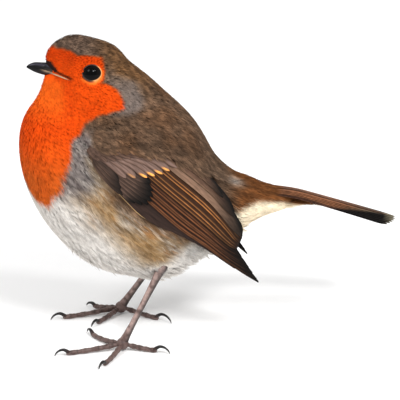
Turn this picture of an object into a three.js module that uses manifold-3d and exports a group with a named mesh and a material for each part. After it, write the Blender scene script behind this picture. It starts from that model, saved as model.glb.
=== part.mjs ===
// A European robin, life size, standing still. Millimetres, +Z up.
// The bird faces -X, its left side is towards -Y, and its toes rest on the plane z = 0.
// The plumage's outer form is a smooth union of ellipsoids, polygonised and parted with thin cuts.
// Bill, eyes, wings, tail, legs, toes and claws are solids of their own, let into that form.
import * as THREE from "three";
import { mergeVertices } from "three/addons/utils/BufferGeometryUtils.js";
import Module from "manifold-3d";

const wasm = await Module();
wasm.setup();
const { lerp, clamp, smoothstep, degToRad } = THREE.MathUtils;

// ---------------------------------------------------------------- driving dimensions
const GAP = 0.3; // between neighbouring solids
const CELL = 3.85; // polygon size of the plumage form
const BLEND = 2.5; // how softly the ellipsoids flow together

// Centre x and z, radii along, across and up, and pitch in degrees (nose up).
const PLUMAGE = {
  crown: { x: -36.5, z: 98, radii: [8.5, 7, 3.5], pitch: -2 },
  face: { x: -43, z: 88.5, radii: [5, 2.5, 11.5], pitch: -7 },
  nape: { x: -28.5, z: 84, radii: [17, 13, 11], pitch: -27 },
  throat: { x: -40.5, z: 79, radii: [9, 9.5, 13.5], pitch: -4 },
  shoulders: { x: -33, z: 67, radii: [12, 20, 12], pitch: -45 },
  breast: { x: -45.5, z: 57, radii: [12.5, 19.5, 24.5], pitch: 18 },
  belly: { x: -21.5, z: 49.5, radii: [23.5, 22, 28], pitch: -28 },
  back: { x: -17.5, z: 65, radii: [21.5, 19.5, 17], pitch: -52 },
  flanks: { x: -15, z: 42.5, radii: [13.5, 19.5, 21.5], pitch: 2 },
  rump: { x: 4, z: 50, radii: [15, 10.5, 8.5], pitch: -41 },
  vent: { x: 7, z: 38.5, radii: [12, 8.5, 3.5], pitch: 54 },
  tailCoverts: { x: 19, z: 45.5, radii: [14.5, 5, 5], pitch: 0 },
};
// The face draws in sideways towards the bill, by this share of its width over these spans of x and z.
const FACE = { narrowing: 0.28, back: -40, front: -48, low: 78, high: 86 };
const FORM_BOX = { low: [-66, 14], high: [40, 110], halfWidth: 28 };

// The cuts between the parts of the body, each through a dorsal and a ventral point (x, z).
const HEAD_CUT = [[-19, 94.5], [-58, 80]];
const NECK_CUT = [[-12, 88], [-62, 68]];
const RUMP_CUT = [[8, 62], [0, 26]];
const COVERTS_CUT = [[18, 58], [17, 34]];

// Where the eye looks out of the head, and how far its centre lies behind that place.
const EYE = { x: -36, z: 94.05, radius: 3.5, sunk: 2.65 };

// The bill's profile, from the tip to the root inside the face.
const BILL = [
  { x: -56.3, culmen: 94.4, gape: 94.15, gonys: 93.9, halfWidth: 0.3 },
  { x: -55.3, culmen: 95.1, gape: 94.2, gonys: 93.25, halfWidth: 0.7 },
  { x: -53.6, culmen: 95.6, gape: 94.1, gonys: 92.3, halfWidth: 1.2 },
  { x: -51.4, culmen: 95.45, gape: 93.7, gonys: 91.5, halfWidth: 1.85 },
  { x: -49, culmen: 95.3, gape: 93.1, gonys: 90.9, halfWidth: 2.6 },
  { x: -46, culmen: 95.2, gape: 92.4, gonys: 90.4, halfWidth: 3.3 },
];

// The folded wing lies on a curved sheet. s runs from the wrist to the tip, t up across it.
const WING = {
  wrist: [-38.4, 72.5],
  tip: [18.2, 18.7],
  fullest: 22, // greatest distance of the sheet from the mid-plane
  fullestAt: 27, // the s where it is
  fall: [200, 265], // how slowly it falls away before that and behind it
  tightness: [46, 16], // the sheet's radius across the wing, at the wrist and at its highest edge
  coverts: 30, // s where the coverts end
  secondaries: 62, // s where the secondaries end
  depth: [1.5, 0.6], // greatest rise from the sheet at the wrist and at the tip
  edge: 0.45, // share of that rise left at the upper and lower edges
  swell: [5, 20], // the rise begins this far under the line from wrist to tip, and is this wide
  seat: 0.5, // clearance between the wing and the body under it
};
// The wing's outline across the sheet, t over s.
const WING_OUTLINE = {
  belly: 5, // the lower edge hangs this far under the line from wrist to tip
  bellyStart: 5.5, // how soon behind the wrist it does
  bellyEnd: [30, 52], // the s over which it comes back up
  wristHeight: 2.2,
  hump: 16.3, // how much higher the tertials' edge rises than the wrist's
  humpAt: 42, // the s where it is highest
  humpEnd: [46, 74], // the s over which it comes down
  margin: 0.4, // the least distance from the line to the lower edge
  point: 60, // the s where the primaries' point begins
  pointHeight: 0.3,
  pointSlope: 0.35,
  parting: [2.6, 4.4], // t of the line between primaries and secondaries, at its two ends
};
const TAIL = {
  root: [20, 51.5],
  tip: [66.6, 36],
  rootHalfWidth: 3.6,
  tipHalfWidth: 5.4,
  thickness: 2.6,
  tipThickness: 0.8,
  rounding: 2.6, // the outer feathers are this much shorter
  camber: 0.7, // the middle stands this much above the edges
};

const LEG = {
  knee: [-21, 12, 37], // distance from the mid-plane, like every y below
  thighRadii: [4.2, 5.4, 4.4, 2.9, 1.9],
  shankRadii: [1.6, 1.35, 1.18, 1.1, 1.06, 1.06, 1.12, 1.3, 1.9],
  ballRadius: 2.1,
  ballHeight: 2.3,
};
// A toe starts this far from the ball's centre, this much higher than it ends, and is flattened underneath.
const TOE = { radius: 0.95, start: 2.45, rise: 1.6, sole: 0.12 };
const TOE_GIRTH = [0.63, 1.05, 0.84, 1, 0.8, 0.98, 0.76, 0.96, 0.66]; // a pad at every second place
const CLAW_RADII = [0.55, 0.5, 0.42, 0.33, 0.22];

// Feet: where the ball stands, and each toe's heading and bend in degrees (0 is forward, + outward),
// its length without claw, and its claw's length.
const FEET = {
  left: {
    side: -1,
    heel: [-14.9, 14.6, 27.2],
    ball: [-28, 16.5],
    toes: {
      hallux: { heading: 166, bend: -6, length: 11.4, claw: 4.8 },
      inner: { heading: -42, bend: -13, length: 15.4, claw: 3.5 },
      middle: { heading: 4, bend: 3, length: 18.7, claw: 4.2 },
      outer: { heading: 63, bend: -4, length: 13.8, claw: 3.6 },
    },
  },
  right: {
    side: 1,
    heel: [-9.6, 12.2, 26.1],
    ball: [-26, 14.3],
    toes: {
      hallux: { heading: -150, bend: 5, length: 14.4, claw: 5.6 },
      inner: { heading: -44, bend: -2, length: 12.6, claw: 3.4 },
      middle: { heading: -7, bend: -2, length: 20.4, claw: 4.6 },
      outer: { heading: 30, bend: 1, length: 10.6, claw: 3 },
    },
  },
};

// ---------------------------------------------------------------- materials
const finish = (color, roughness) => new THREE.MeshStandardMaterial({ color, roughness, metalness: 0 });
const BROWN = finish("#6f6050", 0.85);
const ORANGE = finish("#e8561a", 0.85);
const PALE = finish("#cfc8bd", 0.9);
const FLIGHT = finish("#54443a", 0.7);
const HORN = finish("#1d1c1e", 0.4);
const EYE_BLACK = finish("#0a0807", 0.08);
const LEG_SKIN = finish("#6d5450", 0.6);

// ---------------------------------------------------------------- solids
const robin = new THREE.Group();

// A closed geometry as a manifold-3d solid.
function solid(geometry) {
  const plain = geometry.clone();
  for (const name of Object.keys(plain.attributes)) {
    if (name !== "position") plain.deleteAttribute(name);
  }
  const merged = mergeVertices(plain, 1e-4);
  return new wasm.Manifold(
    new wasm.Mesh({
      numProp: 3,
      vertProperties: merged.attributes.position.array,
      triVerts: new Uint32Array(merged.index.array),
    }),
  );
}

// A manifold-3d solid as a geometry.
function geometryOf(manifold) {
  const mesh = manifold.getMesh();
  const geometry = new THREE.BufferGeometry();
  geometry.setAttribute("position", new THREE.BufferAttribute(mesh.vertProperties, 3));
  geometry.setIndex(new THREE.BufferAttribute(mesh.triVerts, 1));
  geometry.computeVertexNormals();
  return geometry;
}

// Keeps a solid's largest body, so that a cut leaves no loose crumb.
function largest(manifold) {
  return manifold.decompose().reduce((a, b) => (b.volume() > a.volume() ? b : a));
}

function add(name, manifold, material) {
  const mesh = new THREE.Mesh(geometryOf(largest(manifold)), material);
  mesh.name = name;
  robin.add(mesh);
}

function geometryFrom(points, triangles) {
  const geometry = new THREE.BufferGeometry().setFromPoints(points);
  geometry.setIndex(triangles);
  return geometry;
}

// Turns a solid's faces outward if they point in.
function outward(points, triangles) {
  let volume = 0;
  for (let i = 0; i < triangles.length; i += 3) {
    const [a, b, c] = [0, 1, 2].map((k) => points[triangles[i + k]]);
    volume += a.dot(new THREE.Vector3().crossVectors(b, c));
  }
  if (volume < 0) triangles.reverse();
  return solid(geometryFrom(points, triangles));
}

// A closed solid through rings of equally many points, with a fan over each end.
function loft(rings) {
  const size = rings[0].length;
  const points = rings.flat();
  const triangles = [];
  for (let i = 0; i + 1 < rings.length; i++) {
    for (let j = 0; j < size; j++) {
      const a = i * size + j;
      const b = i * size + ((j + 1) % size);
      triangles.push(a, b, b + size, a, b + size, a + size);
    }
  }
  for (const [first, flip] of [[0, true], [(rings.length - 1) * size, false]]) {
    const centre = points.length;
    const ring = points.slice(first, first + size);
    points.push(ring.reduce((sum, p) => sum.add(p), new THREE.Vector3()).divideScalar(size));
    for (let j = 0; j < size; j++) {
      const pair = [first + j, first + ((j + 1) % size)];
      triangles.push(centre, ...(flip ? pair.reverse() : pair));
    }
  }
  return outward(points, triangles);
}

// A closed sheet between two grids of points, top[i][j] over bottom[i][j].
function slab(top, bottom) {
  const rows = top.length;
  const columns = top[0].length;
  const points = [...top.flat(), ...bottom.flat()];
  const at = (i, j, under) => under * rows * columns + i * columns + j;
  const triangles = [];
  const quad = (a, b, c, d) => triangles.push(a, b, c, a, c, d);
  for (let i = 0; i + 1 < rows; i++) {
    for (let j = 0; j + 1 < columns; j++) {
      quad(at(i, j, 0), at(i + 1, j, 0), at(i + 1, j + 1, 0), at(i, j + 1, 0));
      quad(at(i, j + 1, 1), at(i + 1, j + 1, 1), at(i + 1, j, 1), at(i, j, 1));
    }
    quad(at(i + 1, 0, 0), at(i, 0, 0), at(i, 0, 1), at(i + 1, 0, 1));
    quad(at(i, columns - 1, 0), at(i + 1, columns - 1, 0), at(i + 1, columns - 1, 1), at(i, columns - 1, 1));
  }
  for (let j = 0; j + 1 < columns; j++) {
    quad(at(0, j, 0), at(0, j + 1, 0), at(0, j + 1, 1), at(0, j, 1));
    quad(at(rows - 1, j + 1, 0), at(rows - 1, j, 0), at(rows - 1, j, 1), at(rows - 1, j + 1, 1));
  }
  return outward(points, triangles);
}

// A round rod along a smooth curve through points, with a radius at each, interpolated between.
function rod(points, radii, steps, sides = 10) {
  const curve = new THREE.CatmullRomCurve3(points);
  const frames = curve.computeFrenetFrames(steps, false);
  const rings = [];
  for (let i = 0; i <= steps; i++) {
    const place = (i / steps) * (radii.length - 1);
    const k = Math.min(Math.floor(place), radii.length - 2);
    const radius = lerp(radii[k], radii[k + 1], place - k);
    const centre = curve.getPoint(i / steps);
    rings.push(
      Array.from({ length: sides }, (_, j) => {
        const angle = (2 * Math.PI * j) / sides;
        return centre
          .clone()
          .addScaledVector(frames.normals[i], radius * Math.cos(angle))
          .addScaledVector(frames.binormals[i], radius * Math.sin(angle));
      }),
    );
  }
  return loft(rings);
}

function ball(centre, radius, across = 14, up = 8) {
  const geometry = new THREE.SphereGeometry(radius, across, up);
  return solid(geometry.translate(...centre));
}

// ---------------------------------------------------------------- the plumage's form
// The field is negative inside, and roughly the distance in millimetres.
const lumps = Object.values(PLUMAGE).map(({ x, z, radii, pitch }) => {
  const angle = degToRad(pitch);
  return { x, z, radii, cos: Math.cos(angle), sin: Math.sin(angle), least: Math.min(...radii) };
});

function form(x, y, z) {
  const ahead = 1 - smoothstep(x, FACE.front, FACE.back);
  const across = y / (1 - FACE.narrowing * ahead * smoothstep(z, FACE.low, FACE.high));
  let sum = 0;
  for (const lump of lumps) {
    const dx = x - lump.x;
    const dz = z - lump.z;
    const along = (dx * lump.cos + dz * lump.sin) / lump.radii[0];
    const up = (dz * lump.cos - dx * lump.sin) / lump.radii[2];
    const reach = Math.hypot(along, across / lump.radii[1], up) - 1;
    sum += Math.exp((-reach * lump.least) / BLEND);
  }
  return -BLEND * Math.log(sum);
}

// Distance from the mid-plane to the form's side at (x, z).
function halfWidth(x, z) {
  let [inside, outside] = [0, FORM_BOX.halfWidth];
  for (let i = 0; i < 30; i++) {
    const middle = (inside + outside) / 2;
    if (form(x, middle, z) < 0) inside = middle;
    else outside = middle;
  }
  return inside;
}

// The form's slope, which is close to 1 long and points outward.
function slopeAt({ x, y, z }) {
  const h = 0.05;
  return new THREE.Vector3(
    form(x + h, y, z) - form(x - h, y, z),
    form(x, y + h, z) - form(x, y - h, z),
    form(x, y, z + h) - form(x, y, z - h),
  ).divideScalar(2 * h);
}

// Moves a point along the form's slope until it lies on its surface.
function onto(point) {
  for (let i = 0; i < 4; i++) {
    const slope = slopeAt(point);
    point.addScaledVector(slope, -form(point.x, point.y, point.z) / Math.max(slope.lengthSq(), 0.05));
  }
  return point;
}

const AXES = [[1, 0, 0], [0, 1, 0], [0, 0, 1]];
const CORNERS = [0, 1, 2, 3, 4, 5, 6, 7].map((bits) => [bits & 1, (bits >> 1) & 1, bits >> 2]);
const plus = (a, b) => a.map((value, m) => value + b[m]);
const minus = (a, b) => a.map((value, m) => value - b[m]);

// A grid over the form, with the form's value at each of its points [i, j, k].
function gridOverForm() {
  const { low, high, halfWidth: wide } = FORM_BOX;
  const across = Math.ceil(wide / CELL) - 0.5;
  const start = [low[0], -across * CELL, low[1]];
  const count = [
    Math.ceil((high[0] - low[0]) / CELL) + 1,
    Math.round(2 * across) + 1,
    Math.ceil((high[1] - low[1]) / CELL) + 1,
  ];
  const place = (at) => at.map((step, m) => start[m] + step * CELL);
  const index = ([i, j, k]) => (i * count[1] + j) * count[2] + k;
  const walk = (visit, margin) => {
    for (let i = 0; i < count[0] - margin; i++) {
      for (let j = 0; j < count[1] - margin; j++) {
        for (let k = 0; k < count[2] - margin; k++) visit([i, j, k]);
      }
    }
  };
  const values = [];
  walk((at) => {
    values[index(at)] = form(...place(at));
  }, 0);
  return { place, index, walk, valueAt: (at) => values[index(at)] };
}

// The places where the form's surface crosses the twelve edges of the cube at a grid point.
function crossingsIn(cube, { place, valueAt }) {
  const crossings = [];
  for (const corner of CORNERS) {
    for (const axis of AXES.filter((_, m) => corner[m] === 0)) {
      const from = plus(cube, corner);
      const to = plus(from, axis);
      const [before, after] = [valueAt(from), valueAt(to)];
      if (before < 0 === after < 0) continue;
      const start = new THREE.Vector3(...place(from));
      crossings.push(start.lerp(new THREE.Vector3(...place(to)), before / (before - after)));
    }
  }
  return crossings;
}

// The form as a solid: one vertex in each cube that its surface crosses, one quad for each edge it cuts.
function polygonise() {
  const grid = gridOverForm();
  const points = [];
  const vertexOf = new Map();
  grid.walk((cube) => {
    const crossings = crossingsIn(cube, grid);
    if (crossings.length === 0) return;
    const sum = crossings.reduce((total, p) => total.add(p), new THREE.Vector3());
    vertexOf.set(grid.index(cube), points.length);
    points.push(onto(sum.divideScalar(crossings.length)));
  }, 1);
  const triangles = [];
  grid.walk((at) => {
    const inside = grid.valueAt(at) < 0;
    AXES.forEach((axis, m) => {
      if (inside === grid.valueAt(plus(at, axis)) < 0) return;
      const [u, v] = [AXES[(m + 1) % 3], AXES[(m + 2) % 3]];
      const around = [at, minus(at, u), minus(minus(at, u), v), minus(at, v)];
      const [a, b, c, d] = around.map((cube) => vertexOf.get(grid.index(cube)));
      triangles.push(...(inside ? [a, b, c, a, c, d] : [c, b, a, d, c, a]));
    });
  }, 1);
  return outward(points, triangles);
}

// Everything to one side of a cut through two points (x, z): ahead of it, or behind it.
function beside([dorsal, ventral], behind) {
  const size = 200;
  const along = new THREE.Vector2(ventral[0] - dorsal[0], ventral[1] - dorsal[1]).normalize();
  const angle = Math.atan2(-along.x, -along.y);
  const sideways = (size / 2 + GAP / 2) * (behind ? 1 : -1);
  const geometry = new THREE.BoxGeometry(size, size, size).translate(sideways, 0, 0);
  geometry.rotateY(angle);
  return solid(geometry.translate((dorsal[0] + ventral[0]) / 2, 0, (dorsal[1] + ventral[1]) / 2));
}

// ---------------------------------------------------------------- bill
function billHalf(upper, margin) {
  const arc = 8;
  const rings = BILL.map(({ x, culmen, gape, gonys, halfWidth: wide }) => {
    const edge = upper ? gape + GAP / 2 - margin : gape - GAP / 2 + margin;
    const ridge = upper ? Math.max(culmen, edge + 0.15) + margin : Math.min(gonys, edge - 0.15) - margin;
    return Array.from({ length: arc + 1 }, (_, j) => {
      const angle = (Math.PI * j) / arc;
      const rise = Math.sin(angle) ** 0.8;
      return new THREE.Vector3(x, (wide + margin) * Math.cos(angle), edge + (ridge - edge) * rise);
    });
  });
  return loft(rings);
}

// ---------------------------------------------------------------- wings
const wingAxis = new THREE.Vector2(WING.tip[0] - WING.wrist[0], WING.tip[1] - WING.wrist[1]);
const WING_LENGTH = wingAxis.length();
wingAxis.normalize();

// The wing's lower and upper edges, and the line that parts its primaries from its secondaries.
function wingLow(s) {
  const { belly, bellyStart, bellyEnd, margin } = WING_OUTLINE;
  const drop = belly * (1 - Math.exp(-Math.max(s, 0) / bellyStart));
  return -drop * (1 - smoothstep(s, ...bellyEnd)) - margin;
}

function wingHigh(s) {
  const { wristHeight, hump, humpAt, humpEnd, point, pointHeight, pointSlope } = WING_OUTLINE;
  const rise = wristHeight + hump * Math.sin((Math.PI / 2) * clamp(s / humpAt, 0, 1));
  const atPoint = s > point ? pointHeight + pointSlope * Math.max(WING_LENGTH - s, 0) : 0;
  return Math.max(rise * (1 - smoothstep(s, ...humpEnd)), atPoint);
}

function wingMiddle(s) {
  return lerp(...WING_OUTLINE.parting, (s - WING.coverts) / (WING.secondaries - WING.coverts));
}

// A point of the wing's sheet, raised outward from it.
function onWing(side, s, t, raised) {
  const radius = lerp(...WING.tightness, Math.min(s / WING_OUTLINE.humpAt, 1));
  const fall = WING.fall[s < WING.fullestAt ? 0 : 1];
  const level = WING.fullest - (s - WING.fullestAt) ** 2 / fall - Math.max(t, 0) ** 2 / (2 * radius);
  return new THREE.Vector3(
    WING.wrist[0] + wingAxis.x * s - wingAxis.y * t,
    side * (level + raised),
    WING.wrist[1] + wingAxis.y * s + wingAxis.x * t,
  );
}

const spread = (from, to, count) => Array.from({ length: count + 1 }, (_, i) => lerp(from, to, i / count));

// A stretch of the wing between two edges. Its thickness swells in the middle and thins to the tip.
function wingPiece(side, stations, low, high, { columns = 5, outer = null, margin = 0 } = {}) {
  const outside = [];
  const inside = [];
  for (const s of stations) {
    const places = spread(low(s) - margin, high(s) + margin, columns);
    const depths = places.map((t) => {
      const swell = Math.sin(Math.PI * clamp((t + WING.swell[0]) / WING.swell[1], 0, 1));
      return lerp(...WING.depth, s / WING_LENGTH) * lerp(WING.edge, 1, swell);
    });
    outside.push(places.map((t, j) => onWing(side, s, t, outer ?? depths[j])));
    inside.push(places.map((t, j) => onWing(side, s, t, -depths[j] - margin)));
  }
  return slab(outside, inside);
}

// ---------------------------------------------------------------- tail
function tailSheet(margin) {
  const rows = 8;
  const columns = 4;
  const grids = [[], []];
  for (let i = 0; i <= rows; i++) {
    const share = i / rows;
    const wide = lerp(TAIL.rootHalfWidth, TAIL.tipHalfWidth, share) + margin;
    const thick = lerp(TAIL.thickness, TAIL.tipThickness, share) / 2 + margin;
    const over = [];
    const under = [];
    for (let j = 0; j <= columns; j++) {
      const across = (2 * j) / columns - 1;
      const short = TAIL.rounding * across ** 2 * share ** 4;
      const length = Math.hypot(TAIL.tip[0] - TAIL.root[0], TAIL.tip[1] - TAIL.root[1]);
      const along = share - short / length;
      const x = lerp(TAIL.root[0], TAIL.tip[0], along);
      const z = lerp(TAIL.root[1], TAIL.tip[1], along) - TAIL.camber * across ** 2;
      over.push(new THREE.Vector3(x, across * wide, z + thick));
      under.push(new THREE.Vector3(x, across * wide, z - thick));
    }
    grids[0].push(over);
    grids[1].push(under);
  }
  return slab(...grids);
}

// ---------------------------------------------------------------- legs and feet
const ground = solid(new THREE.BoxGeometry(200, 200, 20).translate(0, 0, -10));

// A toe with a pad under each joint, and the claw that arches from its end.
function toePieces(footSide, ballAt, { heading, bend, length, claw }) {
  const at = (distance, height) => {
    const turn = degToRad(heading + (bend * distance) / (length + claw));
    return new THREE.Vector3(
      ballAt[0] - distance * Math.cos(turn),
      footSide * (ballAt[1] + distance * Math.sin(turn)),
      height,
    );
  };
  const low = TOE.radius - TOE.sole;
  const toePath = spread(TOE.start, length, 6).map((distance) =>
    at(distance, low + TOE.rise * (1 - distance / length) ** 2));
  const girth = TOE_GIRTH.map((share) => share * TOE.radius);
  const arch = [[0.07, 0.2], [0.3, 0.32], [0.64, 0.28], [0.9, 0.08], [1, -0.12]];
  const clawPath = arch.map(([along, rise]) => at(length + claw * along, low + claw * rise));
  return { toe: rod(toePath, girth, 8, 7).subtract(ground), claw: rod(clawPath, CLAW_RADII, 6, 6) };
}

// ---------------------------------------------------------------- assembly
const SIDES = { left: -1, right: 1 };
let body = polygonise();

function addBill() {
  for (const [name, upper] of [["bill_upper", true], ["bill_lower", false]]) {
    body = body.subtract(billHalf(upper, GAP));
    add(name, billHalf(upper, 0), HORN);
  }
}

function addEye(name, side) {
  const place = new THREE.Vector3(EYE.x, side * halfWidth(EYE.x, EYE.z), EYE.z);
  const centre = place.addScaledVector(slopeAt(place).normalize(), -EYE.sunk).toArray();
  body = body.subtract(ball(centre, EYE.radius + GAP));
  add("eye_" + name, ball(centre, EYE.radius), EYE_BLACK);
}

function addWing(name, side) {
  const { coverts, secondaries } = WING;
  const whole = spread(-WING.seat, WING_LENGTH + WING.seat, 14);
  const seat = { columns: 4, outer: 30, margin: WING.seat };
  body = body.subtract(wingPiece(side, whole, wingLow, wingHigh, seat));
  const primariesHigh = (s) => (s > secondaries + GAP ? wingHigh(s) : wingMiddle(s) - GAP);
  const hind = spread(coverts + GAP, secondaries, 5);
  const lower = [...spread(coverts + GAP, secondaries + GAP, 5), ...spread(secondaries + 1, WING_LENGTH, 4)];
  add(`wing_${name}_coverts`, wingPiece(side, spread(0, coverts, 6), wingLow, wingHigh), BROWN);
  add(`wing_${name}_secondaries`, wingPiece(side, hind, wingMiddle, wingHigh), FLIGHT);
  add(`wing_${name}_primaries`, wingPiece(side, lower, wingLow, primariesHigh, { columns: 3 }), FLIGHT);
}

function addLeg(name, { side, heel, ball: ballAt, toes }) {
  const place = ([x, y, z]) => new THREE.Vector3(x, side * y, z);
  const thigh = (margin) =>
    rod([place(LEG.knee), place(heel)], LEG.thighRadii.map((r) => r + margin), 4, 9);
  const shank = (margin) =>
    rod([place(heel), place([...ballAt, LEG.ballHeight])], LEG.shankRadii.map((r) => r + margin), 8, 8);
  const foot = (margin) => ball(place([...ballAt, LEG.ballHeight]).toArray(), LEG.ballRadius + margin, 9, 6);
  body = body.subtract(thigh(GAP).add(shank(GAP)));
  add("thigh_" + name, thigh(0).subtract(shank(GAP)), PALE);
  add("shank_" + name, shank(0).subtract(foot(GAP)), LEG_SKIN);
  add("foot_" + name, foot(0), LEG_SKIN);
  for (const [toeName, toe] of Object.entries(toes)) {
    const pieces = toePieces(side, ballAt, toe);
    add(`toe_${name}_${toeName}`, pieces.toe, LEG_SKIN);
    add(`claw_${name}_${toeName}`, pieces.claw, HORN);
  }
}

function addTail() {
  body = body.subtract(tailSheet(GAP));
  add("tail", tailSheet(0), FLIGHT);
}

// What is left of the plumage's form, parted from front to back.
function addBody() {
  const ahead = (cut) => beside(cut, false);
  const behind = (cut) => beside(cut, true);
  add("head", body.intersect(ahead(HEAD_CUT)), BROWN);
  add("neck", body.intersect(behind(HEAD_CUT)).intersect(ahead(NECK_CUT)), ORANGE);
  add("trunk", body.intersect(behind(NECK_CUT)).intersect(ahead(RUMP_CUT)), PALE);
  add("rump", body.intersect(behind(RUMP_CUT)).intersect(ahead(COVERTS_CUT)), BROWN);
  add("tail_coverts", body.intersect(behind(COVERTS_CUT)), PALE);
}

addBill();
for (const [name, side] of Object.entries(SIDES)) {
  addEye(name, side);
  addWing(name, side);
  addLeg(name, FEET[name]);
}
addTail();
addBody();

// The origin is under the middle of the bird's bounding box, on the ground.
const box = new THREE.Box3().setFromObject(robin);
const middle = box.getCenter(new THREE.Vector3());
robin.position.set(-middle.x, -middle.y, -box.min.z);

export default robin;
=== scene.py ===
"""The looks of a European robin, life size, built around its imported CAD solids.

One skin replaces the solids of flesh. Feathers are solid mesh over it: tufts of barbs on the body, and whole
vanes on the wings and tail. Lengths are in millimetres in the CAD source's own frame, in which the bird faces
-X, its left side is towards -Y and z = 0 is the ground. metres() turns them into the row frame. Colours are
sRGB from 0 to 255. Edges and spans of the markings are places in the bird's side view, as x and z.
"""

import itertools
import math

import bpy
import numpy as np
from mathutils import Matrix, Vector


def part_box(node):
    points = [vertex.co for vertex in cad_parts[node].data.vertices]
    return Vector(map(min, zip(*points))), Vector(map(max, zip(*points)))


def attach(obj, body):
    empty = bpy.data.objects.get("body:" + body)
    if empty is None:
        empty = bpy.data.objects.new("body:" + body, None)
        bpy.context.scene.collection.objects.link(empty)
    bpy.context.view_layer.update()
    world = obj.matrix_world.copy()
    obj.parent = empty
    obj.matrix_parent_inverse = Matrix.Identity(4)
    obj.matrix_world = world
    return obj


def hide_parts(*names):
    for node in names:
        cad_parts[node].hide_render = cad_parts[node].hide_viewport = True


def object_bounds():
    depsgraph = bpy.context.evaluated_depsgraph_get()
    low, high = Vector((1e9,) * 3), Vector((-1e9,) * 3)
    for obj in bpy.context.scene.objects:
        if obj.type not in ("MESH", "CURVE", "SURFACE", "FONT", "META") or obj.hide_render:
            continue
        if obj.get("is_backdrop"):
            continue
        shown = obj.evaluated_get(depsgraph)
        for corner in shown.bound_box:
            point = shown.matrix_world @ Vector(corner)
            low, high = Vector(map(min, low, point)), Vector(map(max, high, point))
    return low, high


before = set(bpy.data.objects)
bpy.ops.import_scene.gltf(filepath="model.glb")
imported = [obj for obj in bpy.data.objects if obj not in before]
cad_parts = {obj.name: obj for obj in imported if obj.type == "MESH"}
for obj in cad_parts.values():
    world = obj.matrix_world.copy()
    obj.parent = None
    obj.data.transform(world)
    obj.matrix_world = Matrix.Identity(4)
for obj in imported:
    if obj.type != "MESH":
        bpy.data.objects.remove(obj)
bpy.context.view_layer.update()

rng = np.random.default_rng(20)

# ---- frame
MM = 0.001
BILL_TIP_X = -56.3


def node_box(node):
    """A CAD node's lowest and highest corners, in millimetres."""
    return tuple(np.array(corner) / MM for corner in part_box(node))


EYES_LOW, EYES_HIGH = node_box("eye_left")[0], node_box("eye_right")[1]
SHIFT = np.array([node_box("bill_upper")[0][0] - BILL_TIP_X, (EYES_LOW[1] + EYES_HIGH[1]) / 2, 0])


def metres(points):
    return (points + SHIFT) * MM


# ---- small helpers
def unit(vectors):
    return vectors / np.maximum(np.linalg.norm(vectors, axis=-1, keepdims=True), 1e-9)


def square_to(vectors, normals):
    """The unit vectors' parts that are square to the normals, made unit vectors again."""
    return unit(vectors - normals * (vectors * normals).sum(1, keepdims=True))


def smooth(low, high, value):
    share = np.clip((value - low) / (high - low), 0, 1)
    return share * share * (3 - 2 * share)


def lerp(a, b, share):
    return a + (b - a) * share


def rgb(*levels):
    return np.array(levels, float)


def mix(a, b, share):
    """Colours or points a and b, mixed by a share for each row."""
    return a + (b - a) * np.asarray(share)[..., None]


def linear(srgb):
    """A colour from 0 to 255 as a renderer's linear light."""
    c = np.clip(np.asarray(srgb, float) / 255, 0, 1)
    return np.where(c <= 0.04045, c / 12.92, ((c + 0.055) / 1.055) ** 2.4)


def hash_noise(points, scale, seed):
    """Smooth value noise from 0 to 1 at points, with features about scale across."""
    p = points / scale + seed * 17.3
    cell = np.floor(p).astype(np.int64)
    part = p - cell
    part = part * part * (3 - 2 * part)
    total = 0.0
    for corner in range(8):
        bits = np.array([corner & 1, corner >> 1 & 1, corner >> 2])
        q = cell + bits
        h = (q[:, 0] * 73856093) ^ (q[:, 1] * 19349663) ^ (q[:, 2] * 83492791)
        h = (h ^ (h >> 13)) * 1274126177 & 0x7FFFFFFF
        weight = np.prod(np.where(bits == 1, part, 1 - part), axis=1)
        total = total + weight * (h % 65521) / 65521
    return total


# ---- the plumage's outer form, as in the CAD source
BLEND = 2.5
LUMPS = np.array([
    # x, z, radii along, across and up, pitch
    (-36.5, 98, 8.5, 7, 3.5, -2),  # crown
    (-43, 88.5, 5, 2.5, 11.5, -7),  # face
    (-28.5, 84, 17, 13, 11, -27),  # nape
    (-40.5, 79, 9, 9.5, 13.5, -4),  # throat
    (-33, 67, 12, 20, 12, -45),  # shoulders
    (-45.5, 57, 12.5, 19.5, 24.5, 18),  # breast
    (-21.5, 49.5, 23.5, 22, 28, -28),  # belly
    (-17.5, 65, 21.5, 19.5, 17, -52),  # back
    (-15, 42.5, 13.5, 19.5, 21.5, 2),  # flanks
    (4, 50, 15, 10.5, 8.5, -41),  # rump
    (7, 38.5, 12, 8.5, 3.5, 54),  # vent
    (19, 45.5, 14.5, 5, 5, 0),  # tail coverts
])
LUMP_X, LUMP_Z = LUMPS[:, 0], LUMPS[:, 1]
LUMP_RADII = LUMPS[:, 2:5]
LUMP_COS, LUMP_SIN = np.cos(np.radians(LUMPS[:, 5])), np.sin(np.radians(LUMPS[:, 5]))
LUMP_LEAST = LUMP_RADII.min(1)
# The face draws in sideways towards the bill, by this share of its width over these spans of x and z.
FACE_NARROWING = 0.28
FACE_X, FACE_Z = (-40, -48), (78, 86)


def smooth_rate(low, high, value):
    """How fast smooth() changes."""
    share = np.clip((value - low) / (high - low), 0, 1)
    return 6 * share * (1 - share) / (high - low)


def narrowed(points):
    """The face's width as a share of its lumps' width, and how fast that changes along x and along z."""
    x, z = points[:, 0], points[:, 2]
    by_x, by_z = smooth(*FACE_X, x), smooth(*FACE_Z, z)
    rate_x, rate_z = -FACE_NARROWING * smooth_rate(*FACE_X, x) * by_z, -FACE_NARROWING * by_x * smooth_rate(*FACE_Z, z)
    return 1 - FACE_NARROWING * by_x * by_z, rate_x, rate_z


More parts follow.
